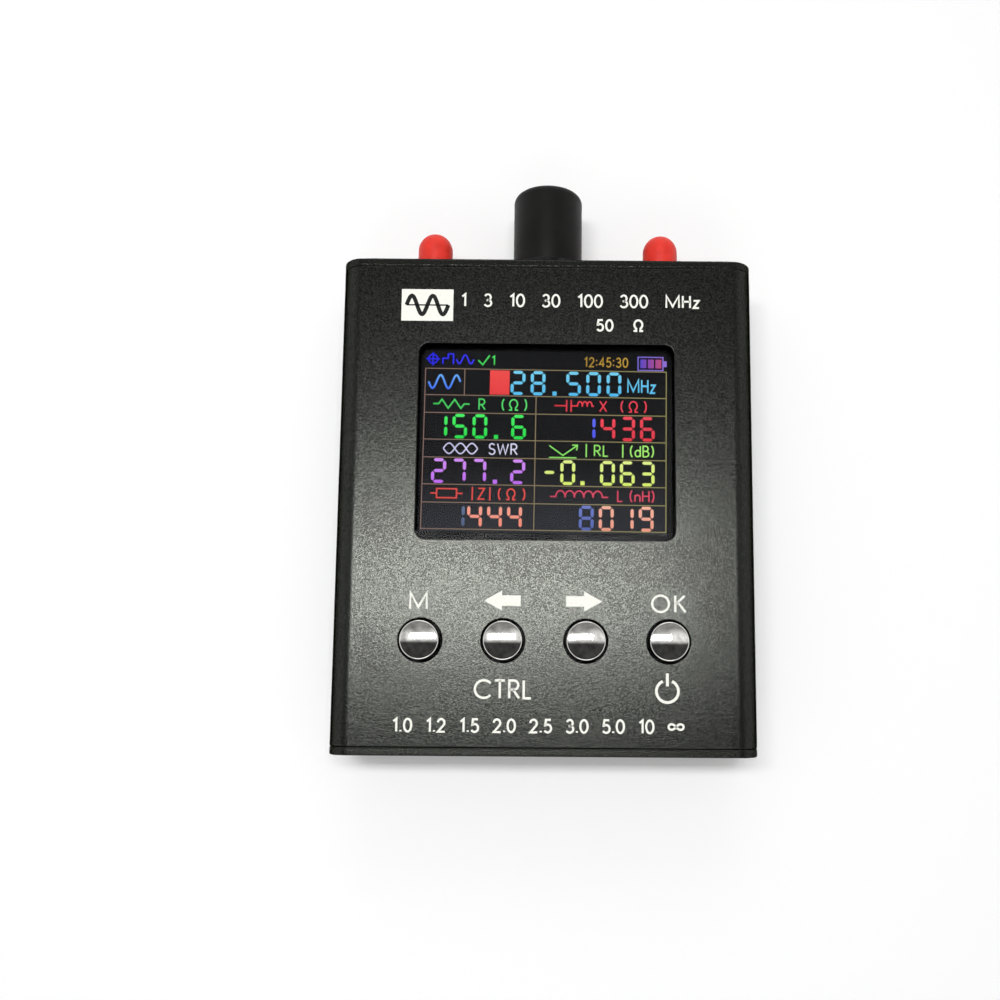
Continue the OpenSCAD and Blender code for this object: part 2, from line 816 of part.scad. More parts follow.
module jack_washer(x, af, thread_d) {
    along_y(x, plate_out, axis_z) difference() {
        cylinder(d = af + 2 * washer_lap, h = washer_t);
        translate([0, 0, -eps]) cylinder(d = thread_d + 2 * jack_clear, h = washer_t + 2 * eps);
    }
}

// The insulator fills a jack's bore from y0 to a little behind its flange
module jack_insulator(x, bore_d, contact_d, flange_t, y1) {
    y0 = plate_in - flange_t - insulator_back;
    along_y(x, y0, axis_z) difference() {
        cylinder(d = bore_d - 2 * insulator_gap, h = y1 - y0);
        translate([0, 0, -eps])
            cylinder(d = contact_d + 2 * insulator_gap, h = y1 - y0 + 2 * eps);
    }
}

// A slotted centre contact, with a tab behind it that is soldered under the board
module jack_contact(x, contact_d, socket_d, flange_t, y1, slot_l) {
    back = plate_in - flange_t - insulator_back;
    slot_w = contact_d / 8;
    difference() {
        along_y(x, back, axis_z) cylinder(d = contact_d, h = y1 - back);
        along_y(x, y1 - slot_l, axis_z) cylinder(d = socket_d, h = slot_l + eps);
        block([x - slot_w / 2, y1 - slot_l, axis_z - contact_d],
              [slot_w, slot_l + eps, 2 * contact_d]);
        block([x - contact_d, y1 - slot_l, axis_z - slot_w / 2],
              [2 * contact_d, slot_l + eps, slot_w]);
    }
    block([x - tab_w / 2, back - tab_l, axis_z - contact_d / 4],
          [tab_w, tab_l + eps, board_rise + contact_d / 4]);
}

module n_jack() {
    y0 = plate_in - large_flange_t;
    color("#c3c6c6") along_y(0, y0, axis_z) difference() {
        union() {
            cylinder(d = large_flange_d, h = large_flange_t);
            cylinder(d = large_thread_d, h = large_front - y0);
        }
        translate([0, 0, -eps]) cylinder(d = large_bore_d, h = large_front - y0 + 2 * eps);
    }
}

module n_washer() {
    color("#2a2a2b") jack_washer(0, large_nut_af, large_thread_d);
}

module n_nut() {
    color("#2a2a2b") jack_nut(0, large_nut_af, large_thread_d, large_nut_t);
}

module n_insulator() {
    color("#f2f2ee") jack_insulator(0, large_bore_d, large_contact_d, large_flange_t,
                                    large_front - large_bore_l);
}

module n_contact() {
    color("#d8b25a") jack_contact(0, large_contact_d, large_socket_d, large_flange_t,
                                  large_front - large_bore_l + large_contact_out, large_contact_out);
}

module sma_jack(side) {
    y0 = plate_in - small_flange_t;
    color("#d8b25a") difference() {
        union() {
            block([side * small_x - small_flange_w / 2, y0, axis_z - small_flange_w / 2],
                  [small_flange_w, small_flange_t, small_flange_w]);
            along_y(side * small_x, y0, axis_z) cylinder(d = small_thread_d, h = small_front - y0);
        }
        along_y(side * small_x, y0 - eps, axis_z)
            cylinder(d = small_bore_d, h = small_front - y0 + 2 * eps);
    }
}

module sma_washer(side) {
    color("#d8b25a") jack_washer(side * small_x, small_nut_af, small_thread_d);
}

module sma_nut(side) {
    color("#d8b25a") jack_nut(side * small_x, small_nut_af, small_thread_d, small_nut_t);
}

module sma_insulator(side) {
    color("#f2f2ee") jack_insulator(side * small_x, small_bore_d, small_contact_d, small_flange_t,
                                    small_front - small_bore_l);
}

module sma_contact(side) {
    color("#d8b25a") jack_contact(side * small_x, small_contact_d, small_socket_d, small_flange_t,
                                  small_front - small_bore_l + small_contact_out, small_contact_out);
}

// ---- Dust caps ----

module n_dust_cap() {
    h = large_cap_top - large_cap_rim;
    color("#232323") along_y(0, large_cap_rim, axis_z) difference() {
        rotate_extrude() {
            square([large_cap_out_r, h - large_cap_edge_r]);
            square([large_cap_out_r - large_cap_edge_r, h]);
            translate([large_cap_out_r - large_cap_edge_r, h - large_cap_edge_r])
                circle(r = large_cap_edge_r);
        }
        translate([0, 0, -eps]) cylinder(r = large_cap_in_r, h = h - large_cap_end + eps);
    }
}

module sma_cap(side) {
    color("#d8301f") difference() {
        union() {
            along_y(side * small_x, small_cap_rim, axis_z)
                cylinder(r = small_cap_out_r, h = small_dome_y - small_cap_rim);
            translate([side * small_x, small_dome_y, axis_z]) sphere(r = small_cap_out_r);
        }
        along_y(side * small_x, small_cap_rim - small_cap_out_r, axis_z)
            cylinder(r = small_cap_in_r, h = small_dome_y - small_cap_rim + small_cap_out_r);
        translate([side * small_x, small_dome_y, axis_z]) sphere(r = small_cap_in_r);
    }
}

front_shell();
rear_shell();
connector_plate();
bottom_plate();
plate_screws(1);  // connector_plate_screws
plate_screws(-1);  // bottom_plate_screws
display_window();
window_tape();
lcd_glass();
lcd_backlight();
lcd_frame();
lcd_ribbon();
lcd_socket();
main_board();
processor_chip();
synthesizer_chip();
crystal_can();
shield_can();
battery_pack();
battery_pad();
battery_leads();
battery_plug();
usb_socket();
usb_tongue();
charge_led();
button_cap(0);  // menu_button
button_cap(1);  // left_button
button_cap(2);  // right_button
button_cap(3);  // ok_button
button_stem(0);  // menu_stem
button_stem(1);  // left_stem
button_stem(2);  // right_stem
button_stem(3);  // ok_stem
switch_body(0);  // menu_switch
switch_body(1);  // left_switch
switch_body(2);  // right_switch
switch_body(3);  // ok_switch
n_jack();
n_washer();
n_nut();
n_insulator();
n_contact();
sma_jack(-1);  // left_sma_jack
sma_washer(-1);  // left_sma_washer
sma_nut(-1);  // left_sma_nut
sma_insulator(-1);  // left_sma_insulator
sma_contact(-1);  // left_sma_contact
sma_jack(1);  // right_sma_jack
sma_washer(1);  // right_sma_washer
sma_nut(1);  // right_sma_nut
sma_insulator(1);  // right_sma_insulator
sma_contact(1);  // right_sma_contact
n_dust_cap();
sma_cap(-1);  // left_sma_cap
sma_cap(1);  // right_sma_cap
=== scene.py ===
import json
import math

import bmesh
import bpy
import numpy as np
from mathutils import Matrix, Vector

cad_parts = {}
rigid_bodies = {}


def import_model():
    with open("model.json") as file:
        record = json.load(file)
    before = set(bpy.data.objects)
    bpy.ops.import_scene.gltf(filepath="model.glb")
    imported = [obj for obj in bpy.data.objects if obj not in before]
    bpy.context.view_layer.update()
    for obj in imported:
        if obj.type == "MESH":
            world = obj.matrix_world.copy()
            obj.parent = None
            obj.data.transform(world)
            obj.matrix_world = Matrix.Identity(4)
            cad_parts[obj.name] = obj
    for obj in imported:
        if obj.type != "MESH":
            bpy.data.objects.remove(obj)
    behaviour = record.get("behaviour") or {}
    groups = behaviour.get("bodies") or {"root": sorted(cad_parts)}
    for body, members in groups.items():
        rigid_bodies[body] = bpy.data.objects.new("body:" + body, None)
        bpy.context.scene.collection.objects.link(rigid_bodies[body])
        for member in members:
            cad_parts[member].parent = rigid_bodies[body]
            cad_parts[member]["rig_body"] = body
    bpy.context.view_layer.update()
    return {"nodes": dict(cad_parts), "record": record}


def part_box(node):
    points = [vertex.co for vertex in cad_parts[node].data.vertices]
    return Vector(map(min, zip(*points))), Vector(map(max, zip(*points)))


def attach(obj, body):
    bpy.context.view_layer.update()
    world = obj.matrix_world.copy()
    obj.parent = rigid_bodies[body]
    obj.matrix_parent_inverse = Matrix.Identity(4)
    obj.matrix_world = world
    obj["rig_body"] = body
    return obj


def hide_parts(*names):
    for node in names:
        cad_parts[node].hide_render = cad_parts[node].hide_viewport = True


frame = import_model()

mm = 0.001
nodes = frame["nodes"]
slotOf = {part["node"]: part["material_slot"] for part in frame["record"]["subparts"]}
noiseSpread = {"soft": (0.35, 0.65), "fine": (0.3, 0.7)}   # where most values of a noise lie

camera = {
    "place": (0.850, -44.370, 260.554),  # mm
    "turns": (-7.216, 0.209, -0.462),    # degrees about x, then y, then z
    "lens": 36.873,                      # mm, as the sensor and the nearest sight are
    "sensor": 36.0,
    "nearest": 10,
    "shift": (-0.0524, 0.0639),
}
# a long narrow lamp almost overhead, a soft fill from the side of the keys, and a soft lamp from the
# side of the jacks, for the caps; places and sizes in mm, tilts in degrees from straight down
lamps = {
    "key_lamp": {"place": (-50, 47, 640), "size": (340, 60), "radiance": 36.5, "tilt": 0},
    "fill_lamp": {"place": (0, -560, 480), "size": (500, 400), "radiance": 1.0, "tilt": 50},
    "back_lamp": {"place": (0, 700, 520), "size": (500, 400), "radiance": 1.2, "tilt": -52},
}
paper = {
    "colour": "#eeeeee",
    "reach": 3000,                       # mm from the middle
    "drop": 0.2,                         # mm under the case
    "glow": 0.2,                         # up to the near end of the fade, and 1 past its far end
    "fade": (0.2, 1.5),                  # m from the middle
}
studio = {
    "ceilingFar": 0.28,                  # grey ceiling towards the jacks, lighter near the lamp
    "ceilingNear": 0.95,
    "ceilingFade": (0.13, 0.3),          # each fade lies between two values of the direction's Y or Z
    "shade": 0.05,                       # dark part of the ceiling over the keys
    "shadeFade": (-0.02, 0.075),
    "patchScale": 7.0,                   # soft patches all over the ceiling
    "patchTones": (0.6, 1.4),
    "walls": 0.38,                       # light that the white walls give
    "wallFade": (0.55, 0.88),
}


def linearColour(hexText):
    # an sRGB channel is divided by 12.92 near black, else ((c + 0.055) / 1.055) to the power 2.4
    channels = [int(hexText[i:i + 2], 16) / 255 for i in (1, 3, 5)]
    return [c / 12.92 if c <= 0.04045 else ((c + 0.055) / 1.055) ** 2.4 for c in channels] + [1.0]


def addObject(name, data):
    # an object at the origin, in the scene
    obj = bpy.data.objects.new(name, data)
    bpy.context.scene.collection.objects.link(obj)
    return obj


def emptyTree(owner):
    # the cleared node tree of a material or of the world
    owner.use_nodes = True
    owner.node_tree.nodes.clear()
    return owner.node_tree


def addNode(tree, kind, settings={}, inputs={}):
    # a node with its settings, each input set to a value or linked to another node's output
    node = tree.nodes.new("ShaderNode" + kind)
    for name, value in settings.items():
        setattr(node, name, value)
    for name, value in inputs.items():
        if isinstance(value, bpy.types.NodeSocket):
            tree.links.new(value, node.inputs[name])
        else:
            node.inputs[name].default_value = value
    return node


def calculate(tree, operation, *values):
    # one step of arithmetic
    return addNode(tree, "Math", {"operation": operation}, dict(enumerate(values))).outputs[0]


def mapRange(tree, value, source=(0.0, 1.0), target=(0.0, 1.0), bend="LINEAR"):
    # a value between the two of source becomes one between the two of target
    return addNode(tree, "MapRange", {"interpolation_type": bend},
                   {"Value": value, "From Min": source[0], "From Max": source[1],
                    "To Min": target[0], "To Max": target[1]}).outputs[0]


def mixColours(tree, share, first, second, how="MIX"):
    # the first colour at share 0, the second at share 1
    return addNode(tree, "Mix", {"data_type": "RGBA", "blend_type": how},
                   {0: share, 6: first, 7: second}).outputs[2]


def placeCamera(look):
    # turns about x, y and z bring the object into view, so the camera stands by their inverse
    x, y, z = (math.radians(turn) for turn in look["turns"])
    turn = Matrix.Rotation(z, 3, "Z") @ Matrix.Rotation(y, 3, "Y") @ Matrix.Rotation(x, 3, "X")
    data = bpy.data.cameras.new("photo_camera")
    data.lens, data.sensor_width, data.clip_start = look["lens"], look["sensor"], look["nearest"] * mm
    data.shift_x, data.shift_y = look["shift"]
    obj = addObject("photo_camera", data)
    obj.matrix_world = Matrix.Translation(Vector(look["place"]) * mm) @ turn.transposed().to_4x4()
    bpy.context.scene.camera = obj


def rayShare(tree):
    # 1 for rays from the camera, from gloss and through glass, 0 for the others
    path = addNode(tree, "LightPath")
    seen = calculate(tree, "MAXIMUM", path.outputs["Is Camera Ray"], path.outputs["Is Glossy Ray"])
    return calculate(tree, "MAXIMUM", seen, path.outputs["Is Transmission Ray"])


def layFloor(look):
    # white paper: a matt sheet that keeps the shadow, with a glow where it is looked at that grows
    # with the distance, as the lamps' light falls off
    material = bpy.data.materials.new("white_paper")
    tree = emptyTree(material)
    matt = addNode(tree, "BsdfDiffuse", {}, {"Color": linearColour(look["colour"])})
    place = addNode(tree, "TexCoord").outputs["Object"]
    away = addNode(tree, "VectorMath", {"operation": "LENGTH"}, {0: place}).outputs["Value"]
    further = mapRange(tree, away, look["fade"], (look["glow"], 1.0))
    glow = addNode(tree, "Emission", {}, {"Strength": calculate(tree, "MULTIPLY", rayShare(tree), further)})
    both = addNode(tree, "AddShader", {}, {0: matt.outputs[0], 1: glow.outputs[0]})
    addNode(tree, "OutputMaterial", {}, {"Surface": both.outputs[0]})
    reach, low = look["reach"] * mm, -look["drop"] * mm
    corners = [(x * reach, y * reach, low) for x, y in ((-1, -1), (1, -1), (1, 1), (-1, 1))]
    mesh = bpy.data.meshes.new("floor")
    mesh.from_pydata(corners, [], [(0, 1, 2, 3)])
    mesh.materials.append(material)
    floor = addObject("floor", mesh)


def hangLamp(name, look):
    # a rectangle that faces down, tilted about X; power = radiance x pi x area
    data = bpy.data.lights.new(name, "AREA")
    data.shape = "RECTANGLE"
    data.size, data.size_y = look["size"][0] * mm, look["size"][1] * mm
    data.energy = look["radiance"] * math.pi * data.size * data.size_y
    lamp = addObject(name, data)
    lamp.location = Vector(look["place"]) * mm
    lamp.rotation_euler = (math.radians(look["tilt"]), 0, 0)
    lamp.visible_camera = False


def paintWorld(look):
    # by direction: grey ceiling, darker overhead on the side of the keys; the walls are white where they
    # are looked at, in gloss and through glass too, and give a dimmer light
    world = bpy.data.worlds.new("studio")
    bpy.context.scene.world = world
    tree = emptyTree(world)
    place = addNode(tree, "TexCoord").outputs["Generated"]
    way = addNode(tree, "SeparateXYZ", {}, {0: place}).outputs
    fading = mapRange(tree, way["Y"], look["ceilingFade"], (look["ceilingNear"], look["ceilingFar"]))
    patches = addNode(tree, "TexNoise", {}, {"Vector": place, "Scale": look["patchScale"], "Detail": 2.0})
    uneven = mapRange(tree, patches.outputs[0], noiseSpread["fine"], look["patchTones"])
    toJacks = mapRange(tree, way["Y"], look["shadeFade"], (look["shade"], fading), "SMOOTHSTEP")
    overhead = calculate(tree, "MULTIPLY", toJacks, uneven)
    toWalls = mapRange(tree, way["Z"], look["wallFade"], (1.0, 0.0), "SMOOTHSTEP")
    walls = addNode(tree, "Mix", {}, {0: rayShare(tree), 2: look["walls"], 3: 1.0}).outputs[0]
    around = addNode(tree, "Mix", {}, {0: toWalls, 2: overhead, 3: walls}).outputs[0]
    back = addNode(tree, "Background", {}, {"Color": (1, 1, 1, 1), "Strength": around})
    addNode(tree, "OutputWorld", {}, {"Surface": back.outputs[0]})


placeCamera(camera)
layFloor(paper)
for name, look in lamps.items():
    hangLamp(name, look)
paintWorld(studio)
bpy.context.scene.view_settings.view_transform = "Standard"
print("camera, floor and light are set")


def finish(name, light, dark, cloud=12.0, grain=0.3, relief=0.0, rough=(0.4, 0.5), metallic=0.0,
           specular=0.5, stretch=(1, 1, 1), **sockets):
    # two tones mixed by a soft noise of cloud mm, and a fine noise of grain mm that moves the
    # roughness between its two values and raises the surface by relief mm
    material = bpy.data.materials.new(name)
    tree = emptyTree(material)
    place = addNode(tree, "Mapping", {},
                    {"Vector": addNode(tree, "TexCoord").outputs["Object"], "Scale": stretch}).outputs[0]
    soft = addNode(tree, "TexNoise", {}, {"Vector": place, "Scale": 1 / (cloud * mm), "Detail": 3.0})
    fine = addNode(tree, "TexNoise", {}, {"Vector": place, "Scale": 1 / (grain * mm), "Detail": 2.0})
    tone = mapRange(tree, soft.outputs[0], noiseSpread["soft"])
    colour = mixColours(tree, tone, linearColour(dark), linearColour(light))
    worn = mapRange(tree, fine.outputs[0], noiseSpread["fine"], rough)
    shader = addNode(tree, "BsdfPrincipled", {},
                     {"Base Color": colour, "Roughness": worn, "Metallic": metallic,
                      "Specular IOR Level": specular, **sockets})
    if relief:
        bump = addNode(tree, "Bump", {},
                       {"Height": fine.outputs[0], "Distance": relief * mm, "Strength": 1.0})
        tree.links.new(bump.outputs[0], shader.inputs["Normal"])
    addNode(tree, "OutputMaterial", {}, {"Surface": shader.outputs[0]})
    return material


def partOf(material, kind):
    # the first node of a kind in a material
    return next(node for node in material.node_tree.nodes if node.bl_idname == "ShaderNode" + kind)


film = {"pitch": 0.5, "line": "#7d4a19"}   # mm, and copper seen through the film


def stripedFilm(look):
    # polyimide film: amber and glossy, with the copper lines of the ribbon showing through;
    # the wave texture repeats every 2 pi / (20 x its scale)
    material = finish("amber_polyimide_film", "#b9792c", "#9a5f1e", cloud=5, rough=(0.25, 0.32), IOR=1.7)
    tree = material.node_tree
    place = addNode(tree, "TexCoord").outputs["Object"]
    lines = addNode(tree, "TexWave", {"bands_direction": "Y"},
                    {"Vector": place, "Scale": 2 * math.pi / 20 / (look["pitch"] * mm)})
    mixed = mixColours(tree, lines.outputs["Fac"], linearColour(look["line"]),
                       partOf(material, "Mix").outputs[2])
    tree.links.new(mixed, partOf(material, "BsdfPrincipled").inputs["Base Color"])
    return material


# tracks as the joints of a brick pattern: unit in mm, the rest in shares of it
board = {"unit": 10, "width": 0.03, "soft": 0.2, "length": 1.1, "pitch": 0.25, "offset": 0.37,
         "track": "#2a7a44"}


def solderMask(look):
    # circuit board: green solder mask over copper, which shows as lighter tracks 2.5 mm apart
    material = finish("green_solder_mask", "#0f4a26", "#0b3a1d", cloud=15, grain=0.2, rough=(0.28, 0.36))
    tree = material.node_tree
    place = addNode(tree, "TexCoord").outputs["Object"]
    tracks = addNode(tree, "TexBrick", {"offset": look["offset"]},
                     {"Vector": place, "Scale": 1 / (look["unit"] * mm), "Mortar Size": look["width"],
                      "Mortar Smooth": look["soft"], "Brick Width": look["length"],
                      "Row Height": look["pitch"]})
    mixed = mixColours(tree, tracks.outputs["Fac"], partOf(material, "Mix").outputs[2],
                       linearColour(look["track"]))
    tree.links.new(mixed, partOf(material, "BsdfPrincipled").inputs["Base Color"])
    return material


finishes = {
    # anodised aluminium, blasted first: the black dye leaves a dim broad metal gloss, and the blasted
    # pits a lively salt-and-pepper grain, drawn at 0.3 mm, coarser than the real 0.1 mm
    "shell_anodised": finish("blasted_anodised_aluminium", "#3f403d", "#1f201e", cloud=0.32, grain=0.32,
                             relief=0.024, rough=(0.23, 0.265), metallic=1.0,
                             **{"Specular Tint": (0.3, 0.3, 0.29, 1)}),
    # anodised aluminium sheet, blasted as the case is, with a slightly deeper grain and duller gloss
    "plate_anodised": finish("blasted_anodised_sheet", "#3a3b37", "#191a18", cloud=0.3, grain=0.3,
                             relief=0.03, rough=(0.23, 0.28), metallic=1.0,
                             **{"Specular Tint": (0.4, 0.4, 0.39, 1)}),
    # steel screws in black oxide: oily dark grey with a soft metal gleam
    "black_steel": finish("black_oxide_steel", "#2b2b2c", "#1a1a1b", cloud=1.5, grain=0.15, relief=0.002,
                          rough=(0.32, 0.42), metallic=1.0),
    # cast acrylic, polished: clear, with faint wipe marks; 1.2 for 1.49, because a coat dims its reflections
    "clear_acrylic": finish("clear_acrylic", "#fbfcfc", "#f6f8f8", cloud=9, grain=2.0, rough=(0.0, 0.002),
                            IOR=1.2, **{"Transmission Weight": 1.0}),
    # foam tape: dead black with an open, slightly fuzzy surface
    "black_tape": finish("black_foam_tape", "#0d0d0d", "#060606", cloud=0.8, grain=0.12, relief=0.02,
                         rough=(0.8, 0.95)),
    # display glass over its dark polariser: blue-black and smooth
    "screen_glass": finish("polarised_display_glass", "#0c0d10", "#08090b", cloud=20, grain=3,
                           rough=(0.05, 0.09), specular=0.1),
    # polycarbonate, moulded: milky white
    "white_plastic": finish("white_polycarbonate", "#e6e5df", "#dad9d2", cloud=6, grain=0.2, relief=0.003,
                            rough=(0.35, 0.45)),
    # ABS, moulded in a finely eroded tool: dark with a faint even grain
    "black_plastic": finish("moulded_black_abs", "#1b1b1c", "#121213", cloud=5, grain=0.15, relief=0.006,
                            rough=(0.45, 0.58)),
    "ribbon_film": stripedFilm(film),
    "circuit_board": solderMask(board),
    # epoxy chip package: matt grey-black, very fine grain
    "chip_package": finish("moulded_epoxy", "#232325", "#19191b", cloud=3, grain=0.08, relief=0.003,
                           rough=(0.5, 0.62)),
    # tin-plated steel, pressed: bright with drawn streaks
    "tinned_steel": finish("tinned_steel", "#c9ccce", "#a9acaf", cloud=2.5, grain=0.3, relief=0.002,
                           rough=(0.2, 0.36), metallic=1.0, stretch=(0.15, 1, 1)),
    # laminated battery foil: soft silver with shallow creases
    "battery_foil": finish("laminated_foil", "#b9bfc6", "#9fa6ae", cloud=14, grain=4.5, relief=0.25,
                           rough=(0.3, 0.45), metallic=0.8),
    # polyethylene foam pad: white, with fine cells
    "adhesive_pad": finish("white_foam", "#e9e9e4", "#d6d6d0", cloud=1.2, grain=0.25, relief=0.03,
                           rough=(0.8, 0.9)),
    # silicone insulation, extruded: soft red sheen
    "lead_insulation": finish("red_silicone", "#b3241a", "#9c1b13", cloud=6, grain=0.2, relief=0.002,
                              rough=(0.42, 0.52)),
    # epoxy light, cast: clear with a slight haze
    "led_lens": finish("cast_clear_epoxy", "#f4f6ee", "#e6eadf", cloud=2, grain=0.4, rough=(0.04, 0.12),
                       IOR=1.55, **{"Transmission Weight": 0.9}),
    # brass with polished chrome plate: mirror-like, blue-white, with faint finger marks
    "button_chrome": finish("polished_chrome", "#e4e3de", "#d6d5d1", cloud=3, grain=1.4, rough=(0.03, 0.05),
                            metallic=1.0),
    # brass with nickel plate, turned: warm silver with fine tool lines round it
    "nickel_brass": finish("nickel_plated_brass", "#c9c6bd", "#b4b1a8", cloud=2, grain=0.25, relief=0.002,
                           rough=(0.16, 0.28), metallic=1.0, stretch=(1, 4, 1)),
    # brass with gold plate, turned: rich yellow, fine tool lines
    "gold_brass": finish("gold_plated_brass", "#e2b65a", "#cf9f45", cloud=2, grain=0.25, relief=0.002,
                         rough=(0.14, 0.26), metallic=1.0, stretch=(1, 4, 1)),
    # PTFE, turned: waxy white that takes a little light in
    "ptfe": finish("turned_ptfe", "#eeeeea", "#e2e2dd", cloud=2, grain=0.2, relief=0.002, rough=(0.4, 0.5),
                   **{"Subsurface Weight": 0.2, "Subsurface Scale": 0.5 * mm}),
    # PVC, dipped: soft black with a dull bloom
    "black_vinyl": finish("dipped_black_pvc", "#10100f", "#0a0a09", cloud=5, grain=0.5, relief=0.008,
                          rough=(0.38, 0.50), specular=0.14),
    # PVC, dipped: strong warm red, satin, with slight unevenness from the dip
    "red_vinyl": finish("dipped_red_pvc", "#f4382a", "#e62f20", cloud=2.5, grain=0.6, relief=0.012,
                        rough=(0.4, 0.52), specular=0.35,
                        **{"Subsurface Weight": 0.15, "Subsurface Scale": 0.8 * mm}),
}
# screen-printed epoxy ink: warm white and black, slightly thin over the grain
ink = {"cloud": 0.5, "grain": 0.3, "relief": 0.004, "rough": (0.5, 0.65)}
whiteInk = finish("white_screen_ink", "#fcfcf3", "#f2f2e7", **ink)
blackInk = finish("black_screen_ink", "#131412", "#0b0c0b", specular=0.2, **ink)

for node, obj in nodes.items():
    if not obj.material_slots:
        obj.data.materials.append(finishes[slotOf[node]])
    for holder in obj.material_slots:
        holder.material = finishes[slotOf[node]]
print("finishes are made:", len(finishes) + 2)


sharpFrom = 32   # degrees: edges that turn more stay sharp


def addPiece(name, points, faces, material, body, replaced=(), smooth=True):
    # points in mm and lists of corners become a mesh whose place is in its points
    mesh = bpy.data.meshes.new(name)
    mesh.from_pydata((np.asarray(points) * mm).tolist(), [], [list(map(int, face)) for face in faces])
    if smooth:
        mesh.shade_smooth()
        mesh.set_sharp_from_angle(angle=math.radians(sharpFrom))
    mesh.materials.append(material)
    obj = addObject(name, mesh)
    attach(obj, body)
    if replaced:
        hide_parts(*replaced)
    return obj


def closeMesh(obj, merge=0.002):
    # points nearer than merge mm become one, and the faces of the closed shell are turned outwards
    shell = bmesh.new()
    shell.from_mesh(obj.data)
    bmesh.ops.remove_doubles(shell, verts=shell.verts, dist=merge * mm)
    bmesh.ops.recalc_face_normals(shell, faces=shell.faces)
    shell.to_mesh(obj.data)
    shell.free()
    obj.data.set_sharp_from_angle(angle=math.radians(sharpFrom))


def gridFaces(rows, columns):
    # quads between neighbouring rows, the last column meeting the first
    row, column = np.arange(rows - 1)[:, None], np.arange(columns)[None, :]
    after = (column + 1) % columns
    corners = [row * columns + column, row * columns + after,
               (row + 1) * columns + after, (row + 1) * columns + column]
    return np.stack(np.broadcast_arrays(*corners), -1).reshape(-1, 4)


def turned(profile, centre, axis, columns=96):
    # a profile of (radius, height) carried round an axis
    profile = np.asarray(profile, float)
    turn = np.linspace(0, 2 * math.pi, columns, endpoint=False)
    radius, height = profile[:, :1] + 0 * turn, profile[:, 1:] + 0 * turn
    return roundGrid(radius, height, turn, centre, axis)


def roundGrid(radius, height, turn, centre, axis):
    # radius and height on a grid of rows and turns, placed round the Y or the Z axis through centre
    side, up = radius * np.sin(turn), radius * np.cos(turn)
    if axis == "Y":
        points = np.stack([centre[0] + side, height, centre[1] + up], -1)
    else:
        points = np.stack([centre[0] + side, centre[1] + up, height], -1)
    return points.reshape(-1, 3), gridFaces(*radius.shape)


def roundCorner(centre, radius, start, end, steps=8):
    # points on an arc of a profile, from one angle to another in degrees
    turn = np.radians(np.linspace(start, end, steps + 1))
    return [(centre[0] + radius * math.cos(a), centre[1] + radius * math.sin(a)) for a in turn]


def boxOf(node):
    # the low and the high corner of a CAD piece's box, in mm
    low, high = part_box(node)
    return np.array(low) / mm, np.array(high) / mm


skin = {
    "x": 49.0, "z": 27.0, "round": 5.0,   # half width, thickness and corner of the case, mm
    "near": 0.02,                         # mm: edges this near to the skin are on it
    "corner": 40,                         # degrees: those that turn more are rounded, in steps
    "steps": 3,
    "flat": 0.5,                          # degrees: faces that turn less are joined
    "merge": 0.001,                       # mm
    "faceWeight": 100,                    # how far the large faces set the shading
}
edgeWidths = {"front_shell": 0.35, "rear_shell": 0.35, "connector_plate": 0.45, "bottom_plate": 0.45}


def offOutline(points, look):
    # distance in mm of points from the case's outer skin, a rounded box seen from its end: how far they
    # lie past the middle of its corner, less the corner's radius
    reach = np.abs(points[:, [0, 2]] - [0, look["z"] / 2]) - [look["x"], look["z"] / 2]
    corner = reach + look["round"]
    return np.linalg.norm(np.maximum(corner, 0), axis=1) + np.minimum(corner.max(1), 0) - look["round"]


def softEdged(node, width, look):
    # a merged copy of a CAD piece with the sharp edges of its outer skin rounded by width mm
    mesh = nodes[node].data.copy()
    shell = bmesh.new()
    shell.from_mesh(mesh)
    bmesh.ops.remove_doubles(shell, verts=shell.verts, dist=look["merge"] * mm)
    bmesh.ops.dissolve_limit(shell, angle_limit=math.radians(look["flat"]), verts=shell.verts,
                             edges=shell.edges)
    angles = [edge.calc_face_angle(0.0) for edge in shell.edges]
    shell.to_mesh(mesh)
    shell.free()
    points = np.zeros(len(mesh.vertices) * 3)
    mesh.vertices.foreach_get("co", points)
    ends = np.zeros(len(mesh.edges) * 2, dtype=int)
    mesh.edges.foreach_get("vertices", ends)
    off = np.abs(offOutline(points.reshape(-1, 3) / mm, look)[ends.reshape(-1, 2)]).max(1)
    chosen = (off < look["near"]) & (np.degrees(angles) > look["corner"])
    mesh.attributes.new("bevel_weight_edge", "FLOAT", "EDGE").data.foreach_set("value", chosen.astype(float))
    mesh.shade_smooth()
    mesh.set_sharp_from_angle(angle=math.radians(look["corner"]))
    mesh.materials.clear()
    mesh.materials.append(finishes[slotOf[node]])
    obj = addObject(node + "_edged", mesh)
    bevel = obj.modifiers.new("edges", "BEVEL")
    bevel.width, bevel.segments, bevel.limit_method = width * mm, look["steps"], "WEIGHT"
    bevel.harden_normals, bevel.use_clamp_overlap = True, True
    even = obj.modifiers.new("flat_faces", "WEIGHTED_NORMAL")
    even.keep_sharp, even.weight = True, look["faceWeight"]
    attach(obj, nodes[node]["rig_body"])
    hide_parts(node)


for node, width in edgeWidths.items():
    softEdged(node, width, skin)
print("case edges are rounded")

keys = {"edge": 0.4, "dome": 24.0, "foot": 0.2, "names": ("menu", "left", "right", "ok")}   # mm


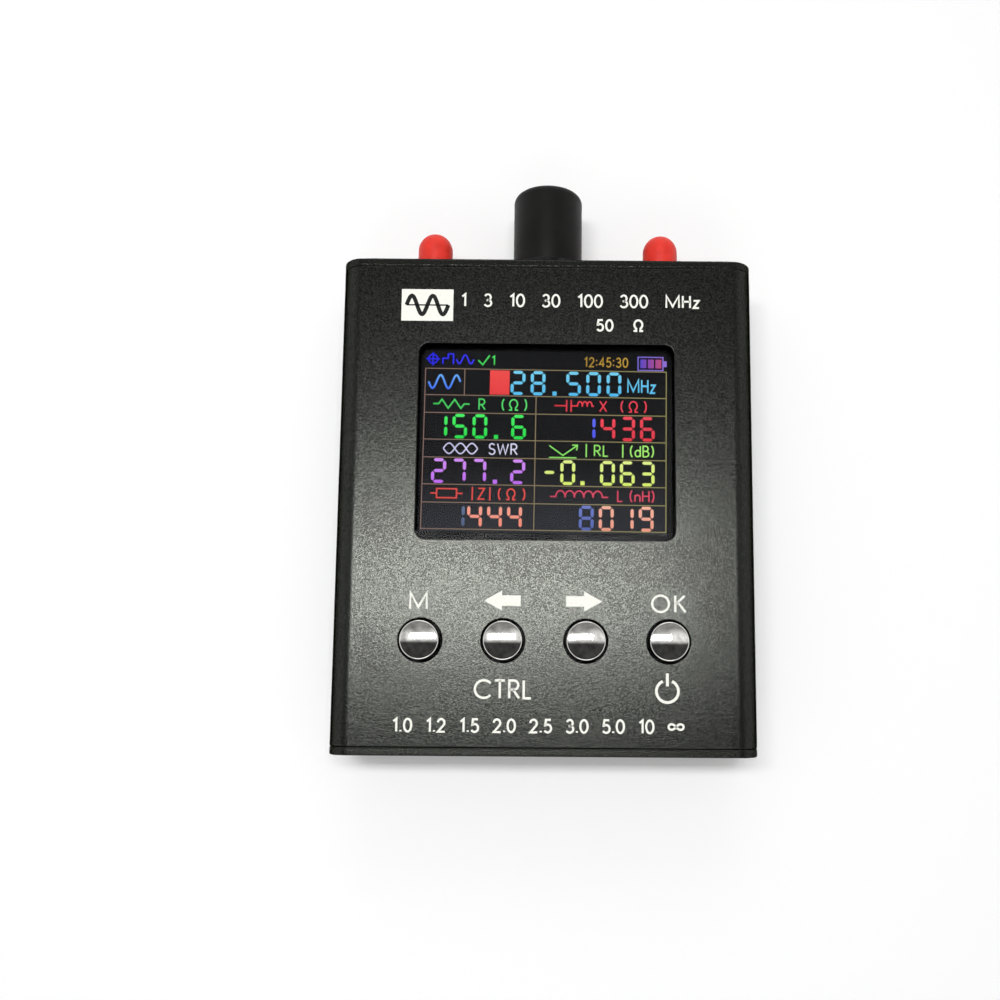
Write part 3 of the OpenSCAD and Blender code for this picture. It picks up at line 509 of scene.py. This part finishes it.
def keyCap(name, look):
    # the dome is an arc of a large circle that runs into a small rounded edge and a straight side
    low, high = boxOf(name + "_button")
    centre, radius = (low[:2] + high[:2]) / 2, (high[0] - low[0]) / 2
    edge, dome, foot = look["edge"], look["dome"], look["foot"]
    lean = math.degrees(math.asin((radius - edge) / (dome - edge)))
    domeCentre = (0.0, high[2] - dome)
    edgeCentre = ((dome - edge) * math.sin(math.radians(lean)),
                  domeCentre[1] + (dome - edge) * math.cos(math.radians(lean)))
    profile = roundCorner(domeCentre, dome, 90, 90 - lean, 14)
    profile += roundCorner(edgeCentre, edge, 90 - lean, 0, 8)[1:]
    profile += [(radius, low[2] + foot), (radius - foot, low[2]), (0.0, low[2])]
    points, faces = turned(profile, centre, "Z")
    obj = addPiece(name + "_key_cap", points, faces, finishes["button_chrome"], name + "_key",
                   [name + "_button"])
    closeMesh(obj)


for name in keys["names"]:
    keyCap(name, keys)
print("keys are turned:", len(keys["names"]))


axisHeight = skin["z"] / 2
# groove = steep x wave - flat, kept between 0 and 1; the flange's chamfer and its lap into the barrel, mm
threadForm = {"steep": 1.25, "flat": 0.15, "chamfer": 0.3, "lap": 0.01}
threads = {
    "n_jack": {"crest": 7.9, "pitch": 25.4 / 24, "depth": 0.52, "bore": 4.1, "flange": 2.5, "square": False},
    "left_sma_jack": {"crest": 3.175, "pitch": 25.4 / 36, "depth": 0.36, "bore": 2.1, "flange": 2.0,
                      "square": True},
}
threads["right_sma_jack"] = threads["left_sma_jack"]


def threadedBarrel(node, look, columns=64, rowsPerTurn=10):
    # radius = crest less the depth times a wave of the height over the pitch less the turn, cut flat at
    # its crests and roots, faded out near both ends; then the end face and the bore, back to the start
    low, high = boxOf(node)
    centre, crest, pitch = (low + high) / 2, look["crest"], look["pitch"]
    start, end = low[1] + look["flange"], high[1]
    count = int((end - start) / pitch * rowsPerTurn)
    height = np.linspace(start, end, count + 1)[:, None]
    turn = np.linspace(0, 2 * math.pi, columns, endpoint=False)[None, :]
    phase = (height - start) / pitch - turn / (2 * math.pi)
    swing = np.abs(2 * (phase - np.floor(phase + 0.5)))
    groove = np.clip(threadForm["steep"] * swing - threadForm["flat"], 0, 1)
    fade = np.clip((height - start) / pitch, 0, 1)
    chamfer = np.clip(1 - (end - height) / pitch, 0, 1) * look["depth"]
    radius = np.minimum(crest - look["depth"] * fade * groove, crest - chamfer)
    foot = radius[0].max()
    radii, heights = [radius], [height + 0 * turn]
    for ring, place in ((look["bore"], end), (look["bore"], low[1]), (foot, low[1]), (foot, start)):
        radii.append(np.full((1, columns), ring))
        heights.append(np.full((1, columns), place))
    return roundGrid(np.vstack(radii), np.vstack(heights), turn, (centre[0], axisHeight), "Y")


def jackFlange(node, look):
    # the flange behind the plate, on the barrel's foot: round on the large jack, and square on the small
    # ones, where its reach = half its width / the larger of |sin| and |cos| of the turn
    low, high = boxOf(node)
    centre, half = (low + high) / 2, (high[0] - low[0]) / 2
    back, front, edge = low[1], low[1] + look["flange"], threadForm["chamfer"]
    turn = np.linspace(0, 2 * math.pi, 96, endpoint=False)
    reach = np.full_like(turn, half)
    if look["square"]:
        reach /= np.maximum(np.abs(np.sin(turn)), np.abs(np.cos(turn)))
    inner = np.full_like(turn, look["crest"] - threadForm["lap"])
    rings = [(inner, back), (reach - edge, back), (reach, back + edge), (reach, front - edge),
             (reach - edge, front), (inner, front), (inner, back)]
    radius = np.array([ring for ring, place in rings])
    height = np.array([np.full_like(turn, place) for ring, place in rings])
    return roundGrid(radius, height, turn[None, :], (centre[0], axisHeight), "Y")


def jack(node, look):
    # the barrel and its flange as one piece in the place of the plain jack
    barrel, barrelFaces = threadedBarrel(node, look)
    flange, flangeFaces = jackFlange(node, look)
    points = np.vstack([barrel, flange])
    faces = np.vstack([barrelFaces, flangeFaces + len(barrel)])
    obj = addPiece(node + "_threaded", points, faces, finishes[slotOf[node]], "case", [node])
    closeMesh(obj)


for node, look in threads.items():
    jack(node, look)

caps = {   # mm
    "n_dust_cap": {"body": "n_cap", "wall": 0.6, "end": 1.2, "edge": 1.9, "bevel": 0.4, "dome": False},
    "left_sma_cap": {"body": "left_cap", "wall": 1.05, "dome": True},
    "right_sma_cap": {"body": "right_cap", "wall": 1.05, "dome": True},
}


def dustCap(node, look):
    # outside: straight side and a rounded or domed end; inside: the same less the wall; the rim is
    # softly rounded
    low, high = boxOf(node)
    centre, outer = (low[0] + high[0]) / 2, (high[0] - low[0]) / 2
    inner, rim, top, lip = outer - look["wall"], low[1], high[1], look["wall"] / 2
    if look["dome"]:
        outside = roundCorner((0, top - outer), outer, 90, 0, 22)
        inside = roundCorner((0, top - outer), inner, 0, 90, 18)
    else:
        edge, roof, bevel = look["edge"], top - look["end"], look["bevel"]
        outside = [(0, top)] + roundCorner((outer - edge, top - edge), edge, 90, 0, 14)
        inside = [(inner, roof - bevel), (inner - bevel, roof), (0, roof)]
    lipArc = roundCorner((outer - lip, rim + lip), lip, 0, -180, 10)
    points, faces = turned(outside + lipArc + inside, (centre, axisHeight), "Y")
    obj = addPiece(node + "_soft", points, faces, finishes[slotOf[node]], look["body"], [node])
    closeMesh(obj)


for node, look in caps.items():
    dustCap(node, look)
print("jacks and dust caps are turned:", len(threads) + len(caps))


mitre = 0.45   # drawn lines become bands, whose corners reach half the width / a cosine of at least this


def band(points, width):
    # each point goes to both sides, square to the bisector of the stretches that meet there, by half the
    # width / the cosine of half the bend
    points = np.asarray(points, float)
    steps = np.diff(points, axis=0)
    steps /= np.linalg.norm(steps, axis=1, keepdims=True)
    closed = np.allclose(points[0], points[-1])
    before = np.vstack([steps[-1:] if closed else steps[:1], steps])
    after = np.vstack([steps, steps[:1] if closed else steps[-1:]])
    square = after[:, ::-1] * [-1, 1]
    middle = before[:, ::-1] * [-1, 1] + square
    middle /= np.linalg.norm(middle, axis=1, keepdims=True)
    reach = width / 2 / np.maximum((middle * square).sum(1, keepdims=True), mitre)
    i, count = np.arange(len(points) - 1), len(points)
    return (np.vstack([points + middle * reach, points - middle * reach]),
            np.stack([i, i + count, i + count + 1, i + 1], 1).tolist())


def outline(points):
    # a filled outline, its points given anticlockwise
    return np.asarray(points, float), [list(range(len(points)))]


def rect(x0, y0, x1, y1):
    # a filled box between two opposite corners
    return outline([(x0, y0), (x1, y0), (x1, y1), (x0, y1)])


def ellipse(x, y, rx, ry, start=90, end=450, step=15):
    # points round x, y from one angle to another in degrees, about a step apart
    turn = np.radians(np.linspace(start, end, max(4, int(abs(end - start) / step)) + 1))
    return np.stack([x + rx * np.cos(turn), y + ry * np.sin(turn)], 1).tolist()


def lyingEight(x, y, rx, ry):
    # x = rx cos t / (1 + sin^2 t), y = ry sin t cos t / (1 + sin^2 t)
    turn = np.linspace(0, 2 * math.pi, 49)
    across = np.cos(turn) / (1 + np.sin(turn) ** 2)
    return np.stack([x + rx * across, y + ry * np.sin(turn) * across], 1).tolist()


# single-line letters of height 1: (width, lines)
letters = {
    "0": (0.58, [ellipse(0.29, 0.5, 0.29, 0.5)]),
    "1": (0.34, [[(0.04, 0.80), (0.28, 1.0), (0.28, 0)]]),
    "2": (0.58, [ellipse(0.28, 0.71, 0.26, 0.29, 175, -38) + [(0.03, 0.0), (0.58, 0.0)]]),
    "3": (0.56, [ellipse(0.27, 0.755, 0.23, 0.245, 160, -90) + [(0.18, 0.51)],
                 ellipse(0.27, 0.265, 0.28, 0.265, 90, -155)]),
    "4": (0.60, [[(0.45, 0), (0.45, 1), (0.0, 0.28), (0.62, 0.28)]]),
    "5": (0.56, [[(0.52, 1.0), (0.14, 1.0), (0.07, 0.56)] + ellipse(0.27, 0.31, 0.28, 0.31, 125, -150)]),
    ".": (0.10, [[(0.05, 0.0), (0.05, 0.12)]]),
    ":": (0.12, [[(0.05, 0.12), (0.05, 0.28)], [(0.05, 0.62), (0.05, 0.78)]]),
    "M": (1.12, [[(0.05, 0.0), (0.06, 1.0), (0.56, 0.10), (1.06, 1.0), (1.07, 0.0)]]),
    "O": (1.02, [ellipse(0.51, 0.5, 0.51, 0.5)]),
    "K": (0.66, [[(0.04, 0), (0.04, 1)], [(0.60, 1.0), (0.08, 0.47)], [(0.20, 0.59), (0.66, 0.0)]]),
    "C": (0.92, [ellipse(0.51, 0.5, 0.51, 0.5, 42, 318)]),
    "T": (0.56, [[(0.0, 1), (0.56, 1)], [(0.28, 1), (0.28, 0)]]),
    "R": (0.60, [[(0.04, 0), (0.04, 1), (0.30, 1)] + ellipse(0.30, 0.74, 0.25, 0.26, 75, -90)
                 + [(0.04, 0.48)], [(0.26, 0.48), (0.60, 0)]]),
    "L": (0.46, [[(0.04, 1), (0.04, 0), (0.46, 0)]]),
    "H": (0.66, [[(0.04, 0), (0.04, 1)], [(0.62, 0), (0.62, 1)], [(0.04, 0.52), (0.62, 0.52)]]),
    "S": (0.56, [ellipse(0.28, 0.75, 0.23, 0.25, 25, 270) + ellipse(0.28, 0.25, 0.27, 0.25, 90, -160)[1:]]),
    "W": (1.00, [[(0.0, 1.0), (0.25, 0.04), (0.5, 0.92), (0.75, 0.04), (1.0, 1.0)]]),
    "X": (0.62, [[(0.0, 1.0), (0.62, 0.0)], [(0.62, 1.0), (0.0, 0.0)]]),
    "Z": (0.62, [[(0.02, 1.0), (0.60, 1.0), (0.02, 0.0), (0.62, 0.0)]]),
    "B": (0.58, [[(0.04, 0), (0.04, 1), (0.28, 1)] + ellipse(0.28, 0.76, 0.22, 0.24, 75, -90)
                 + [(0.04, 0.52)],
                 [(0.28, 0.52)] + ellipse(0.28, 0.26, 0.28, 0.26, 75, -90) + [(0.04, 0.0)]]),
    "d": (0.54, [[(0.50, 0), (0.50, 1)], ellipse(0.27, 0.30, 0.24, 0.30)]),
    "n": (0.52, [[(0.04, 0), (0.04, 0.62)],
                 [(0.04, 0.42)] + ellipse(0.27, 0.40, 0.23, 0.22, 150, 0) + [(0.50, 0)]]),
    "z": (0.46, [[(0.02, 0.60), (0.44, 0.60), (0.02, 0.0), (0.46, 0.0)]]),
    "(": (0.28, [ellipse(0.46, 0.5, 0.40, 0.66, 125, 235)]),
    ")": (0.28, [ellipse(-0.18, 0.5, 0.40, 0.66, 55, -55)]),
    "|": (0.10, [[(0.05, -0.12), (0.05, 1.12)]]),
    "ohm": (0.86, [[(0.0, 0.0), (0.24, 0.0)] + ellipse(0.43, 0.58, 0.36, 0.42, 238, -58)
                   + [(0.62, 0.0), (0.86, 0.0)]]),
    "endless": (1.20, [lyingEight(0.60, 0.5, 0.60, 0.62)]),
}


def writeLine(text, left, base, height, width, gap, right=None):
    # letters side by side from left; with right given, the space between the words fills the line
    tall = height - width
    words = [[word] if len(word) > 1 and word in letters else list(word) for word in text.split("_")]

    def size(word):
        # the letters' widths, the gaps between them and one stroke
        return sum(letters[c][0] * tall for c in word) + (gap + width) * (len(word) - 1) + width

    spare = 0 if right is None else right - left - sum(size(word) for word in words)
    space = spare / max(len(words) - 1, 1)
    shapes, x = [], left + width / 2
    for word in words:
        for letter in word:
            wide, lines = letters[letter]
            shapes += [band(np.array(line) * tall + [x, base + width / 2], width) for line in lines]
            x += wide * tall + gap + width
        x += space - gap
    return shapes


def wave(x0, x1, y, high, turns, count=48):
    # height = y + high x sin(2 pi x turns x the share of the way)
    t = np.linspace(0, 1, count)
    return np.stack([x0 + (x1 - x0) * t, y + high * np.sin(2 * math.pi * turns * t)], 1)


def joinShapes(shapes):
    # several shapes as one: the numbers in each face go up by the points before it
    points, faces, start = [], [], 0
    for corners, sides in shapes:
        points.append(corners)
        faces += [[start + i for i in side] for side in sides]
        start += len(corners)
    return np.vstack(points), faces


front = boxOf("front_shell")[1][2]
inkHeight = 0.03   # mm
# name: (text, left, right, foot, height, stroke, gap between letters), all in mm
marks = {
    "scale": ("1_3_10_30_100_300_MHz", -20.5, 36.3, 46.5, 3.4, 0.46, 0.20),
    "load": ("50_ohm", 11.6, 23.0, 40.7, 3.1, 0.48, 0.22),
    "ratio": ("1.0_1.2_1.5_2.0_2.5_3.0_5.0_10_endless", -34.2, 31.8, -53.3, 3.3, 0.48, 0.16),
    "menu": ("M", -31.17, None, -25.65, 4.21, 0.50, 0),
    "ok": ("OK", 24.36, None, -25.94, 4.27, 0.50, 0.78),
    "control": ("CTRL", -15.89, None, -45.72, 4.49, 0.52, 0.36),
}
plate = {"left": -34.54, "right": -22.26, "low": 42.99, "high": 50.78, "margin": 1.2,
         "stroke": 0.95, "swing": 2.3, "turns": 2, "axis": 0.32}
arrows = {"left_arrow": (-13.8, -9.75, -5.5, -23.35), "right_arrow": (13.13, 9.0, 4.9, -23.4)}
arrowHead, arrowShaft = 4.6, 2.4
# the sign's ring has its middle at x, y and an opening of gap degrees to both sides of the bar
power = {"x": 27.97, "y": -43.69, "radius": 2.8, "stroke": 0.62, "gap": 25,
         "bar": 0.64, "foot": 1.15, "top": -39.62}


def printFlat(name, shapes, inkUsed, lift=0.0):
    # flat shapes laid on the front and given the thickness of the ink
    flat, faces = joinShapes(shapes)
    points = np.column_stack([flat, np.full(len(flat), front + lift + inkHeight)])
    obj = addPiece(name, points, faces, inkUsed, "case", smooth=False)
    solid = obj.modifiers.new("ink", "SOLIDIFY")
    solid.thickness, solid.offset = inkHeight * mm, -1.0


def printArrow(name, tip, neck, tail, y):
    # a three-cornered head from tip to neck and a straight shaft from neck to tail, about the height y
    side = 1 if tail > tip else -1
    head, shaft = side * arrowHead / 2, side * arrowShaft / 2
    printFlat(name, [outline([(tip, y), (neck, y - head), (neck, y + head)]),
                     rect(neck, y - shaft, tail, y + shaft)], whiteInk)


def printPower(look):
    # an open ring and a bar that stands in its opening
    x, y, turn, ring = look["x"], look["y"], look["gap"], look["radius"] - look["stroke"] / 2
    printFlat("power_mark", [band(ellipse(x, y, ring, ring, 90 + turn, 450 - turn, 5), look["stroke"]),
                             band([(x, y + look["foot"]), (x, look["top"])], look["bar"])], whiteInk)


def printPlate(look):
    # a white plate with a black wave and its axis on top
    left, right, middle = look["left"], look["right"], (look["low"] + look["high"]) / 2
    printFlat("wave_plate_mark", [rect(left, look["low"], right, look["high"])], whiteInk)
    left, right = left + look["margin"], right - look["margin"]
    curve = wave(left, right, middle, look["swing"], look["turns"])
    axis = [(left, middle), (right, middle)]
    printFlat("wave_line_mark", [band(curve, look["stroke"]), band(axis, look["axis"])], blackInk, inkHeight)


for name, (text, left, right, foot, height, stroke, gap) in marks.items():
    printFlat(name + "_mark", writeLine(text, left, foot, height, stroke, gap, right), whiteInk)
for name, places in arrows.items():
    printArrow(name + "_mark", *places)
printPower(power)
printPlate(plate)
print("the front is printed:", len(marks) + len(arrows) + 3, "marks")


screen = {
    "centre": (-0.3, 14.9), "turn": -0.5,      # mm and degrees: the panel sits very slightly askew
    "pixel": 0.18, "wide": 320, "high": 240,   # mm, and pixels each way
    "border": 1, "foot": 2,                    # pixels of bare panel at three sides and below
    "panelLift": 0.01, "lift": 0.03,           # mm over the glass
    "gap": 0.12, "gapTone": 0.62,              # share of a pixel that is dark line, and its brightness
    "base": (0.004, 0.004, 0.005, 1),          # unlit colour, in linear light
    "rough": 0.3,
}
glassTop = boxOf("lcd_glass")[1][2]


def litFinish(name, light, dark, along, ends):
    # a lit display colour: two tones along one axis between two places in mm, cut by the dark
    # lines between the pixels
    material = bpy.data.materials.new(name)
    tree = emptyTree(material)
    place = addNode(tree, "TexCoord").outputs["Object"]
    parts = addNode(tree, "SeparateXYZ", {}, {0: place}).outputs
    share = mapRange(tree, parts[along], (ends[0] * mm, ends[1] * mm))
    tone = mixColours(tree, share, linearColour(dark), linearColour(light))
    offLine = []
    for axis in "XY":
        cell = calculate(tree, "DIVIDE", parts[axis], screen["pixel"] * mm)
        offLine.append(calculate(tree, "GREATER_THAN", calculate(tree, "FRACT", cell), screen["gap"]))
    dim = mapRange(tree, calculate(tree, "MINIMUM", *offLine), target=(screen["gapTone"], 1.0))
    glow = mixColours(tree, 1.0, tone, dim, "MULTIPLY")
    shader = addNode(tree, "BsdfPrincipled", {},
                     {"Base Color": screen["base"], "Roughness": screen["rough"], "Specular IOR Level": 0.0,
                      "Emission Color": glow, "Emission Strength": 1.0})
    addNode(tree, "OutputMaterial", {}, {"Surface": shader.outputs[0]})
    return material


def onScreen(flat):
    # display pixels, counted right and down, become mm on the glass, turned about the panel's middle
    turn = math.radians(screen["turn"])
    x = (flat[:, 0] - screen["wide"] / 2) * screen["pixel"]
    y = (screen["high"] / 2 - flat[:, 1]) * screen["pixel"]
    return np.stack([screen["centre"][0] + x * math.cos(turn) - y * math.sin(turn),
                     screen["centre"][1] + x * math.sin(turn) + y * math.cos(turn)], 1)


def lightUp(name, shapes, material, lift):
    # shapes in display pixels on the glass; the rows count down, so each face is turned round
    flat, faces = joinShapes(shapes)
    placed = onScreen(flat)
    points = np.column_stack([placed, np.full(len(placed), glassTop + lift)])
    addPiece(name, points, [face[::-1] for face in faces], material, "case", smooth=False)


# display pixels: a figure's box and bars, the gap at a bar's ends, and where a point stands in its box
digits = {"wide": 19.5, "high": 33.0, "thick": 4.2, "gap": 0.9, "pointPlace": 7, "point": 5.5}
segments = {"0": "abcdef", "1": "bc", "2": "abged", "3": "abgcd", "4": "fgbc", "5": "afgcd", "6": "afgedc",
            "7": "abc", "8": "abcdefg", "9": "abcdfg", "-": "g"}


def bar(x0, y0, x1, y1, thick, gap):
    # a straight bar with pointed ends, drawn as two quads
    start, end = np.array([x0, y0], float), np.array([x1, y1], float)
    way = (end - start) / np.linalg.norm(end - start)
    side = np.array([-way[1], way[0]]) * thick / 2
    start, end = start + way * gap, end - way * gap
    inner0, inner1 = start + way * thick / 2, end - way * thick / 2
    return (np.array([start, inner0 - side, inner1 - side, end, inner1 + side, inner0 + side]),
            [[0, 1, 2, 3], [0, 3, 4, 5]])


def figure(sign, x, y, look):
    # a seven-bar figure or a point, in a box that starts at x, y
    high, t = look["high"], look["thick"] / 2
    if sign == ".":
        left, low = x + look["pointPlace"], y + high
        return [rect(left, low - look["point"], left + look["point"], low)]
    left, right, top, low, mid = x + t, x + look["wide"] - t, y + t, y + high - t, y + high / 2
    lines = {"a": (left, top, right, top), "b": (right, top, right, mid), "c": (right, mid, right, low),
             "d": (left, low, right, low), "e": (left, mid, left, low), "f": (left, top, left, mid),
             "g": (left, mid, right, mid)}
    return [bar(*lines[s], look["thick"], look["gap"]) for s in segments[sign]]


def figures(text, xs, y):
    # each sign of the text at its own x, all at the same y
    return [shape for sign, x in zip(text, xs) for shape in figure(sign, x, y, digits)]


def label(text, x, y, high=16.0, stroke=1.8, gap=1.4, right=None, narrow=1.0):
    # written letters on the screen, turned over because the rows count down; widths times narrow
    return [(corners * [narrow, -1] + [x * (1 - narrow), 2 * y + high], [side[::-1] for side in sides])
            for corners, sides in writeLine(text, x, y, high, stroke, gap, right)]


def labels(places, y, **look):
    # several texts on one row, each from its own x
    return [shape for text, x in places for shape in label(text, x, y, **look)]


def strokeMarks(lines, stroke):
    # lines as bands, their faces turned over because the rows count down
    bands = [band(line, stroke) for line in lines]
    return [(corners, [side[::-1] for side in sides]) for corners, sides in bands]


def zigzag(x0, x1, y, high, peaks, lead=0.15):
    # a resistor's sign: two leads, each a share of the whole, and peaks that swing to both sides
    lead *= x1 - x0
    x = np.linspace(x0 + lead, x1 - lead, 2 * peaks + 1)
    swing = high * np.resize([0, -1, 0, 1], len(x))
    return np.vstack([[(x0, y)], np.stack([x, y + swing], 1), [(x1, y)]])


def coil(x0, x1, y, high, loops, lead=0.1):
    # an inductor's sign: half rings side by side between two leads, each a share of the whole
    lead *= x1 - x0
    size = (x1 - x0 - 2 * lead) / loops / 2
    middles = [x0 + lead + size * (2 * k + 1) for k in range(loops)]
    return [(x0, y)] + [p for x in middles for p in ellipse(x, y, size, -high, 180, 0, 20)] + [(x1, y)]


# display pixels: the table's rows, its two upright lines, and the figures' and labels' places in it
rows = (24, 60, 84, 120, 144, 180, 204, 239)
middleLine, markLine, lineWidth = 147, 52, 1.1
columns = {"left": (12, 38, 64.5, 86, 115.5), "right": (207, 233, 259, 285)}
figureRow = [rows[i] + 1.5 for i in (0, 2, 4, 6)]
labelRow = [rows[i] + 4 for i in (1, 3, 5)]
figureSpan = ((26, 33), (15, 22), (4, 11), (-6.6, 0))   # mm along Y, from one tone to the other
top, foot = rows[0], rows[-1]
table = [rect(0, y - lineWidth / 2, screen["wide"], y + lineWidth / 2) for y in rows]
table += [rect(x, top, x + lineWidth, foot) for x in (0, screen["wide"] - lineWidth)]
table += [rect(middleLine, rows[1], middleLine + lineWidth, foot),
          rect(markLine, top, markLine + lineWidth, rows[1])]


def value(text, xs, row, light, dark):
    # the figures of one row, with two tones over the row's height
    return figures(text, xs, figureRow[row]), light, dark, "Y", *figureSpan[row]


litFields = {
    # name: (shapes, light, dark, axis, from, to), the last two in mm
    "grid": (table, "#a39c62", "#8e7268", "X", -29, 29),
    "status_marks": (strokeMarks([ellipse(10, 11, 6, 6), [(10, 2), (10, 20)], [(1, 11), (19, 11)],
                                  [(23, 18), (23, 10), (30, 10), (30, 4), (37, 4), (37, 18)],
                                  wave(41, 64, 11, 6, 1.5)], 2.0), "#3a3aff", "#2222f0", "X", -29, -15),
    "trim_mark": (strokeMarks([[(70, 12), (76, 18), (85, 5)]], 2.0) + label("1", 87, 5, 14),
                  "#55f06a", "#30c850", "Y", 32, 36),
    "clock": (label("12:45:30", 210, 5, 14, gap=1.7, narrow=0.86), "#cfa640", "#b48f30", "X", 8, 20),
    "battery_outline": (strokeMarks([[(282, 4), (315, 4), (315, 22), (282, 22), (282, 4)]], 1.6)
                        + [rect(315.8, 9, 320, 17)], "#9a78e0", "#7a6ad8", "X", 22, 29),
    "battery_charge": ([rect(x, 7, x + 8, 19) for x in (285, 295, 305)], "#c0508a", "#4a4ad0", "X", 22, 27),
    "frequency_mark": (strokeMarks([wave(5, 47, 42, 9, 2)], 2.6), "#6fb4ff", "#3a6cff", "Y", 27, 31),
    "cursor": ([rect(86, figureRow[0], 112, figureRow[0] + digits["high"])], "#ff5250", "#f24244",
               "Y", *figureSpan[0]),
    "frequency_value": (figures("28.500", (113.5, 140, 162, 187, 213.5, 240.5), figureRow[0])
                        + label("MHz", 267, 34, 20, 2.6, 0.9, narrow=0.8), "#84dffc", "#58c4f8",
                        "Y", *figureSpan[0]),
    "resistance_label": (strokeMarks([zigzag(12, 60, 72, 6, 4)], 1.9)
                         + label("R_(", 71, labelRow[0], right=107)
                         + labels((("ohm", 111), (")", 131)), labelRow[0]),
                         "#66f27a", "#3fd85e", "X", -29, 0),
    "resistance_value": value("150.6", columns["left"], 1, "#4dff6a", "#22e24a"),
    "reactance_label": (strokeMarks([[(172, 72), (188, 72)], [(188, 64), (188, 80)],
                                     [(194, 64), (194, 80)], [(194, 72), (202, 72)],
                                     coil(200, 224, 72, 6, 3)], 1.9)
                        + label("X_(", 231, labelRow[0], right=264)
                        + labels((("ohm", 269), (")", 289)), labelRow[0]),
                        "#ff4a5a", "#e23a48", "X", 0, 29),
    "reactance_lead": value("1", columns["right"][:1], 1, "#6a74ff", "#4a54f0"),
    "reactance_value": value("436", columns["right"][1:], 1, "#ff5060", "#ec3a4a"),
    "ratio_label": (strokeMarks([wave(27, 72, 132, 7, 1.5), wave(27, 72, 132, -7, 1.5)], 1.7)
                    + label("SWR", 86, labelRow[1]), "#eeeaff", "#c8c8f0", "X", -29, 0),
    "ratio_value": value("277.2", columns["left"], 2, "#e09aff", "#c26af8"),
    "return_label": (strokeMarks([[(166, 126), (184, 139), (202, 126)],
                                  [(196, 125), (203, 125), (202, 132)], [(166, 142), (202, 142)]], 1.7)
                     + labels((("|", 213), ("RL", 224), ("|", 261)), labelRow[1])
                     + label("(dB)", 271, labelRow[1], gap=0.8), "#b8ff7a", "#8cf06a", "X", 0, 29),
    "return_value": value("-0.063", (157, 181, 200.5) + columns["right"][1:], 2, "#f2ff9a", "#e2f870"),
    "impedance_label": (strokeMarks([[(12, 192), (20, 192)],
                                     [(20, 186), (46, 186), (46, 198), (20, 198), (20, 186)],
                                     [(46, 192), (54, 192)]], 1.9)
                        + labels((("|", 65), ("Z", 73), ("|", 88), ("(", 99), ("ohm", 110), (")", 131)),
                                 labelRow[2]), "#ff5a50", "#e04a44", "X", -29, 0),
    "impedance_lead": value("1", columns["left"][1:2], 3, "#66789e", "#4c5a7c"),
    "impedance_value": value("444", (60.5, 86.5, 112.5), 3, "#ffb09a", "#f88a74"),
    "inductance_label": (strokeMarks([coil(168, 244, 194, 8, 5)], 1.9) + label("L", 255, labelRow[2])
                         + label("(nH)", 271, labelRow[2], gap=0.8), "#f0506a", "#d04460", "X", 0, 29),
    "inductance_lead": value("8", (206,), 3, "#7484d0", "#5768b4"),
    "inductance_value": value("019", (232, 258, 284), 3, "#ffc0a8", "#f8a48c"),
}
panel = litFinish("dark_liquid_crystal", "#0f0f11", "#2a2c32", "Y", (-7, 9))
edge = screen["border"]
lightUp("screen_panel", [rect(-edge, -edge, screen["wide"] + edge, screen["high"] + screen["foot"])], panel,
        screen["panelLift"])
for name, (shapes, light, dark, axis, start, end) in litFields.items():
    material = litFinish("lit_" + name, light, dark, axis, (start, end))
    lightUp("screen_" + name, shapes, material, screen["lift"])
print("the screen is lit:", len(litFields) + 1, "fields")


contacts = {"count": 5, "width": 0.4, "pitch": 0.8, "thick": 0.08,
            "back": 0.3, "slope": 0.25, "front": 0.2}   # mm


def socketContacts(look):
    # gold strips side by side under the tongue, each a thin sheet whose back end slopes up to it
    low, high = boxOf("usb_tongue")
    x0 = (low[0] + high[0]) / 2 - look["pitch"] * (look["count"] - 1) / 2
    back = low[1] + look["back"]
    # place along Y, and how many thicknesses under the tongue
    nose = [(back, 0.0), (back + look["slope"], 1.0), (high[1] - look["front"], 1.0)]
    points, faces, row = [], [], len(nose)
    for k in range(look["count"]):
        start = len(points)
        for side in (-0.5, 0.5):
            x = x0 + k * look["pitch"] + side * look["width"]
            points += [(x, y, low[2] - look["thick"] * drop) for y, drop in nose]
        faces += [[i, i + 1, i + row + 1, i + row] for i in range(start, start + row - 1)]
    obj = addPiece("usb_contacts", points, faces, finishes["gold_brass"], "case", smooth=False)
    sheet = obj.modifiers.new("sheet", "SOLIDIFY")
    sheet.thickness, sheet.offset = look["thick"] * mm, 0.0


socketContacts(contacts)
print("the socket has its contacts")
